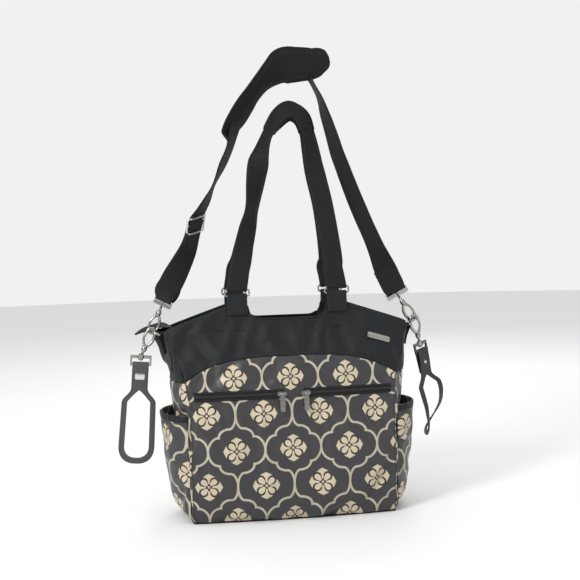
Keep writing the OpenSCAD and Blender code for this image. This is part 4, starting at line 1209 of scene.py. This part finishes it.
def lathe(name, profile, place, material):
    """A round part from its profile of (height, radius), placed by a function."""
    sides = 20
    turn = np.arange(sides) * math.tau / sides
    points = [place(r * math.cos(a), r * math.sin(a), z) for z, r in profile for a in turn]
    faces = grid_faces(len(profile), sides, wrap=True)
    faces += [ring_face(0, sides, True), ring_face((len(profile) - 1) * sides, sides)]
    return mesh_piece(name, points, faces, material)


def build_clasp(name, origin, angle, mirror):
    """A snap hook: its eye, its sprung gate, its swivel and the post that it turns on."""
    turn = math.radians(angle)
    c, s = math.cos(turn), math.sin(turn)

    def place(x, y, z):
        x *= mirror
        return origin + np.array([x * c + z * s, y, z * c - x * s])

    eye, gate = ([place(x, 0, z) for x, z in smooth(route, 4)] for route in (EYE, GATE))
    hook = f"{name}_clasp"
    ride(tube(hook, eye, 2.45, NICKEL, sides=12), hook, "nickel", hook)
    ride(tube(f"{name}_gate", gate, 1.8, NICKEL, sides=10), f"{name}_gate", "nickel", f"{name}_gate")
    ride(lathe(f"{name}_swivel", SWIVEL, place, NICKEL), hook, "nickel")
    ride(lathe(f"{name}_post", POST, place, NICKEL), hook, "nickel")


build_clasp("left_strap", LEFT_APEX + HOOK_Y, 204, 1)
build_clasp("right_strap", RIGHT_APEX + HOOK_Y, 148, -1)
build_clasp("left_clip", LEFT_APEX - HOOK_Y, 24, -1)
build_clasp("right_clip", RIGHT_APEX - HOOK_Y, -12, 1)


# ---------------------------------------------------------------- stroller loops
TAB_FOLD = 2.9  # radius of the strip's fold over its ring


def rounded(turn, power):
    """A point of a unit outline, which is round at power 1 and nearly square at small powers."""
    return [math.copysign(abs(v) ** power, v) for v in (math.cos(turn), math.sin(turn))]


def loop_half():
    """Outer and inner outlines of the left half of a loop, matched point for point, from the fold down."""
    bend, down = np.linspace(0, 1, 6)[1:], np.linspace(0, 1, 9)[1:]
    ease = bend * bend * (3 - 2 * bend)
    turn = np.radians(np.linspace(0, 90, 11)[1:])
    outer = [(-13, -y) for y in np.linspace(0, 44, 9)]
    outer += [(-13 - 14 * e, -44 - 22 * b) for b, e in zip(bend, ease)]
    outer += [(-27 - 1.5 * t, -66 - 70 * t) for t in down]
    outer += [(-28.5 * math.cos(a) ** 0.8, -136 - 28 * math.sin(a) ** 0.9) for a in turn]
    inner = [(0, -y) for y in np.linspace(0, 46, 9)]
    inner += [(-18 * b**0.85, -46 - 19 * b) for b in bend]
    inner += [(-18 - 1.3 * t, -65 - 71 * t) for t in down]
    inner += [(-19.3 * math.cos(a) ** 0.8, -136 - 18.5 * math.sin(a) ** 0.9) for a in turn]
    return np.array(outer), np.array(inner)


def build_loop(side, place, material, body):
    """A folded tab and a die-cut loop. place(u, d, n) maps across, down and thickness to the bag."""
    outer, inner = loop_half()
    half = np.array([outer * (1 - t) + inner * t for t in (0.0, 0.12, 0.35, 0.65, 0.88, 1.0)])
    cols, rows = half.shape[:2]
    points, faces = [], []
    for mirror in (1, -1):
        first = len(points)
        points += [place(mirror * x, -y, 0.0) for x, y in half.reshape(-1, 2)]
        quads = [(first + c * rows + r, first + (c + 1) * rows + r,
                  first + (c + 1) * rows + r + 1, first + c * rows + r + 1)
                 for c in range(cols - 1) for r in range(rows - 1)]
        faces += quads if mirror > 0 else flipped(quads)
    piece = mesh_piece(f"{side}_clip_loop", points, faces, material)
    piece.modifiers.new("Join", "WELD").merge_threshold = 0.2 * MM
    ride(soften(thicken(piece, 2.5, 0.0), 0.55), body, "grey_leather", f"{side}_clip_loop")
    tail_d = np.concatenate([np.linspace(-40, -7, 8), np.linspace(-6, 0, 6)])
    tail = [place(u, d, 0.0) for d in tail_d for u in np.linspace(-13, 13, 5)]
    strip = mesh_piece(f"{side}_clip_tab", tail, grid_faces(len(tail_d), 5), material)
    ride(soften(thicken(strip, 2.5, 0.0), 0.5), body, "grey_leather")
    lines = []
    edge = outer + unit(inner - outer) * 2.0
    for mirror in (1, -1):
        line, under = (np.array([place(mirror * p[0], -p[1], n) for p in edge[1:]]) for n in (1.3, -1.3))
        lines += [(line, line - under), (under, under - line)]
    stitches(f"{side}_loop_stitching", lines, body, "grey_leather", GREY_THREAD, 3.4, 2.3, 0.34)


def tab_depth(d):
    """How far down and how far out a point of the folded strip lies, d along it. The tail is behind."""
    arc = math.pi * TAB_FOLD / 2
    if d >= arc:
        return d - arc, TAB_FOLD
    if d <= -arc:
        return -d - arc, -TAB_FOLD
    turn = d / TAB_FOLD
    return -TAB_FOLD * math.cos(turn), TAB_FOLD * math.sin(turn)


def loop_place(end, down_angle, twist, path):
    """Maps a loop's flat layout to its hanging place. path(d) moves its middle line and twist(d) turns it."""
    down0, across0 = -lean(down_angle), unit(np.cross(Y, lean(down_angle)))

    def place(u, d, n):
        down, out = tab_depth(d)
        turn = math.radians(twist(d))
        across = across0 * math.cos(turn) + Y * math.sin(turn)
        normal = unit(np.cross(down0, across))
        if normal @ -Y < 0:
            normal = -normal
        shift, drop = path(d)
        flat = np.interp(d, (20, 50), (1, 0)) if d > 0 else 1
        return end + down0 * (down * drop) + across * u + normal * (out * flat + n) + across0 * shift
    return place


def build_loops():
    """The left loop hangs flat. The right one twists on its way down and swings to one side."""
    straight = loop_place(LEFT_LOOP, 5, lambda d: 0.0, lambda d: (0.0, 1.0))
    build_loop("left", straight, LEATHER, "left_clip_loop")

    def twist(d):
        return np.interp(d, (-45, 0, 50, 75, 110, 140, 165), (38, 38, 36, 30, 46, 72, 84))

    def path(d):
        shift = np.interp(d, (0, 45, 75, 105, 135, 165), (0, -1.5, 2.5, 0.5, -11.0, -27.0))
        return shift, np.interp(d, (0, 60, 165), (1.0, 0.97, 0.86))

    def eased(function):
        return lambda d: np.mean([function(d + k) for k in (-9, -4.5, 0, 4.5, 9)], axis=0)

    bent = loop_place(RIGHT_LOOP, -12, eased(twist), eased(path))
    # Painted shade: the right loop gets the grey leather made darker.
    build_loop("right", bent, LEATHER_SHADED, "right_clip_loop")
    build_snap("left", straight, 16.0, 10.0, 0.28)
    build_snap("right", bent, 6.0, 6.0, 1.0)


def build_snap(side, place, wide, high, power):
    """A snap's cap: a domed plate on the left loop and a round rivet on the right one, with a stud behind."""
    points, faces = [], []
    levels = ((0.0, 1.0), (0.7, 1.0), (1.15, 0.86), (1.3, 0.55), (1.35, 0.2))
    middle, half_strip, count = 24.0, 1.2, 28
    for sign, size in ((1, 1.0), (-1, 0.6)):
        first = len(points)
        for lift, share in levels:
            for k in range(count):
                u, d = rounded(math.tau * k / count, power)
                u, d = u * wide / 2 * share * size, d * high / 2 * share * size
                points.append(place(u, sign * middle + d, sign * (half_strip + lift)))
        faces += grid_faces(len(levels), count, first, wrap=True)
        faces.append(ring_face(first + (len(levels) - 1) * count, count))
    piece = mesh_piece(f"{side}_clip_snap", points, faces, BRIGHT)
    ride(piece, f"{side}_clip_loop", "nickel", f"{side}_clip_snap")


build_loops()


# ---------------------------------------------------------------- D-ring tabs, bindings and nameplate
def build_d_tabs():
    """Each tab lies against the side yoke, folds over its D-ring's bar and comes back down on itself."""
    for side, hand, replaced in ((-1, "left", "d_ring_tabs"), (1, "right", "")):
        bar, out = np.array([side * D_BAR_X, 0, D_BAR_Z]), side * X

        def beside(z, off):
            return out * (float(table(SIDE_HALF_W, z)) + off) + Z * z

        fold = [bar + FOLD_R * (math.sin(a) * Z - math.cos(a) * out) for a in np.linspace(0, math.pi, 7)]
        route = [beside(266, 1.2), beside(278, 1.4), bar - out * FOLD_R - Z * 4, *fold,
                 bar + out * FOLD_R - Z * 4, beside(279, 5.0), beside(270, 3.6), beside(262, 3.2)]
        piece = band(f"{hand}_d_ring_tab", Route([(p, Y, 17.5) for p in route], 4), 1.8, WEB, wave=0.1)
        ride(piece, "bag", "webbing", replaced)


def build_notch_bindings():
    """A thin cord of webbing over the raw edge of each notch."""
    for side, face, replaced in (("front", FRONT, "notch_bindings"), ("back", BACK, "")):
        grid = shell_part(face, 0, len(shell))
        out = grid_normals(grid)
        line = np.array([grid[-1, c] - out[-1, c] * 0.9 for c, s in enumerate(FRONT_SHARES) if abs(s) < 0.3])
        piece = tube(f"{side}_notch_binding", resample(line, 3.0), 1.7, WEB, sides=8)
        ride(piece, "bag", "webbing", replaced)


def build_nameplate():
    """A blank plate with a raised rim."""
    low, high = (np.array(c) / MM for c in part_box("nameplate"))
    middle = (low + high) / 2
    half_wide, half_high, count = 19, 4.5, 48
    across, up = unit(np.array([0.952, 0.07, -0.292])), unit(np.array([0.31, 0.36, 0.88]))
    up = unit(up - (up @ across) * across)
    out = np.cross(across, up)
    out = -out if out[1] > 0 else out
    points = []
    levels = ((-0.4, 0.0), (0.5, 0.0), (0.95, 0.3), (0.95, 1.1), (0.55, 1.4), (0.5, 3.0), (0.5, 4.0))
    for lift, inset in levels:
        for k in range(count):
            u, d = rounded(math.tau * (k + 0.5) / count, 0.16)
            u, d = u * (half_wide - inset), d * max(half_high - inset, 0.3)
            points.append(middle + across * u + up * d + out * lift)
    faces = grid_faces(len(levels), count, wrap=True) + [ring_face((len(levels) - 1) * count, count)]
    ride(mesh_piece("nameplate", points, faces, PLATE), "bag", "nickel", "nameplate")


build_d_tabs()
build_notch_bindings()
build_nameplate()


# ---------------------------------------------------------------- the CAD fittings' finishes
def finish_node(name, material, bevel=0.0):
    """Gives a CAD object its finish, and where it has a bevel, soft edges as well."""
    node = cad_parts[name]
    node.data.materials.clear()
    node.data.materials.append(material)
    if bevel:
        node.data.shade_smooth()
        node.modifiers.new("Join", "WELD").merge_threshold = 0.02 * MM
        soften(node, bevel, 3)


for wires in ("front_rings", "back_rings", "left_d_ring", "right_d_ring"):
    finish_node(wires, NICKEL)
for where, parts in (("main", ("slider", "pull")), ("left", ("clip_ring", "front_slider", "front_pull")),
                     ("right", ("clip_ring", "front_slider", "front_pull"))):
    for part in parts:
        finish_node(f"{where}_{part}", NICKEL, 0.4)
finish_node("base_board", BOARD)


# ---------------------------------------------------------------- stage, light and camera
def build_stage():
    bpy.ops.mesh.primitive_circle_add(vertices=96, radius=6.0, fill_type="NGON", location=(0, 0, 0))
    floor = bpy.context.object
    floor.name = "floor"
    made = Finish("floor_paper", 0.9, Specular_IOR_Level=0.1)
    grain = made.noise(3.0)
    made.colour(made.mix(grain, (0.80, 0.80, 0.80), (0.84, 0.84, 0.84)))
    floor.data.materials.append(made.material)


def area_light(name, place, target, size, power):
    light = bpy.data.lights.new(name, "AREA")
    light.shape, light.size, light.energy = "DISK", size, power
    made = bpy.data.objects.new(name, light)
    made.location = place
    made.rotation_euler = (Vector(target) - Vector(place)).to_track_quat("-Z", "Y").to_euler()
    bpy.context.scene.collection.objects.link(made)


def build_light():
    """A soft, even studio. The walls look white, and light the bag less than the lamps do."""
    world = bpy.data.worlds.new("studio")
    world.use_nodes = True
    tree = world.node_tree
    walls = tree.nodes["Background"]
    walls.inputs["Color"].default_value = (1, 1, 1, 1)
    seen = tree.nodes.new("ShaderNodeLightPath")
    level = Num(tree, seen.outputs["Is Camera Ray"]) * 0.5 + 0.38
    tree.links.new(level.socket, walls.inputs["Strength"])
    bpy.context.scene.world = world
    sky = bpy.data.objects.new("overhead", bpy.data.lights.new("overhead", "SUN"))
    sky.data.energy, sky.data.angle = 1.5, 1.6
    bpy.context.scene.collection.objects.link(sky)
    area_light("key", (-1.7, -1.5, 1.5), (0, 0, 0.25), 0.7, 42)
    area_light("fill", (1.7, -1.8, 0.7), (0, 0, 0.25), 1.2, 9)
    area_light("rim", (0.6, 1.8, 1.8), (0, 0, 0.3), 1.2, 14)
    bpy.context.scene.view_settings.view_transform = "Standard"


def build_camera():
    """The photograph's view: from a little left of the front and just above the middle."""
    azimuth, elevation, distance, roll = math.radians(-8), math.radians(3), 1.64, math.radians(-1.7)
    target = Vector((0.009, 0, 0.357))
    level = math.cos(elevation)
    back = Vector((math.sin(azimuth) * level, -math.cos(azimuth) * level, math.sin(elevation)))
    data = bpy.data.cameras.new("camera")
    data.lens_unit, data.angle = "FOV", math.radians(32)
    camera = bpy.data.objects.new("camera", data)
    camera.rotation_mode = "QUATERNION"
    camera.location = target + back * distance
    camera.rotation_quaternion = (-back).to_track_quat("-Z", "Y") @ Quaternion((0, 0, 1), roll)
    bpy.context.scene.collection.objects.link(camera)
    bpy.context.scene.camera = camera


build_stage()
build_light()
build_camera()
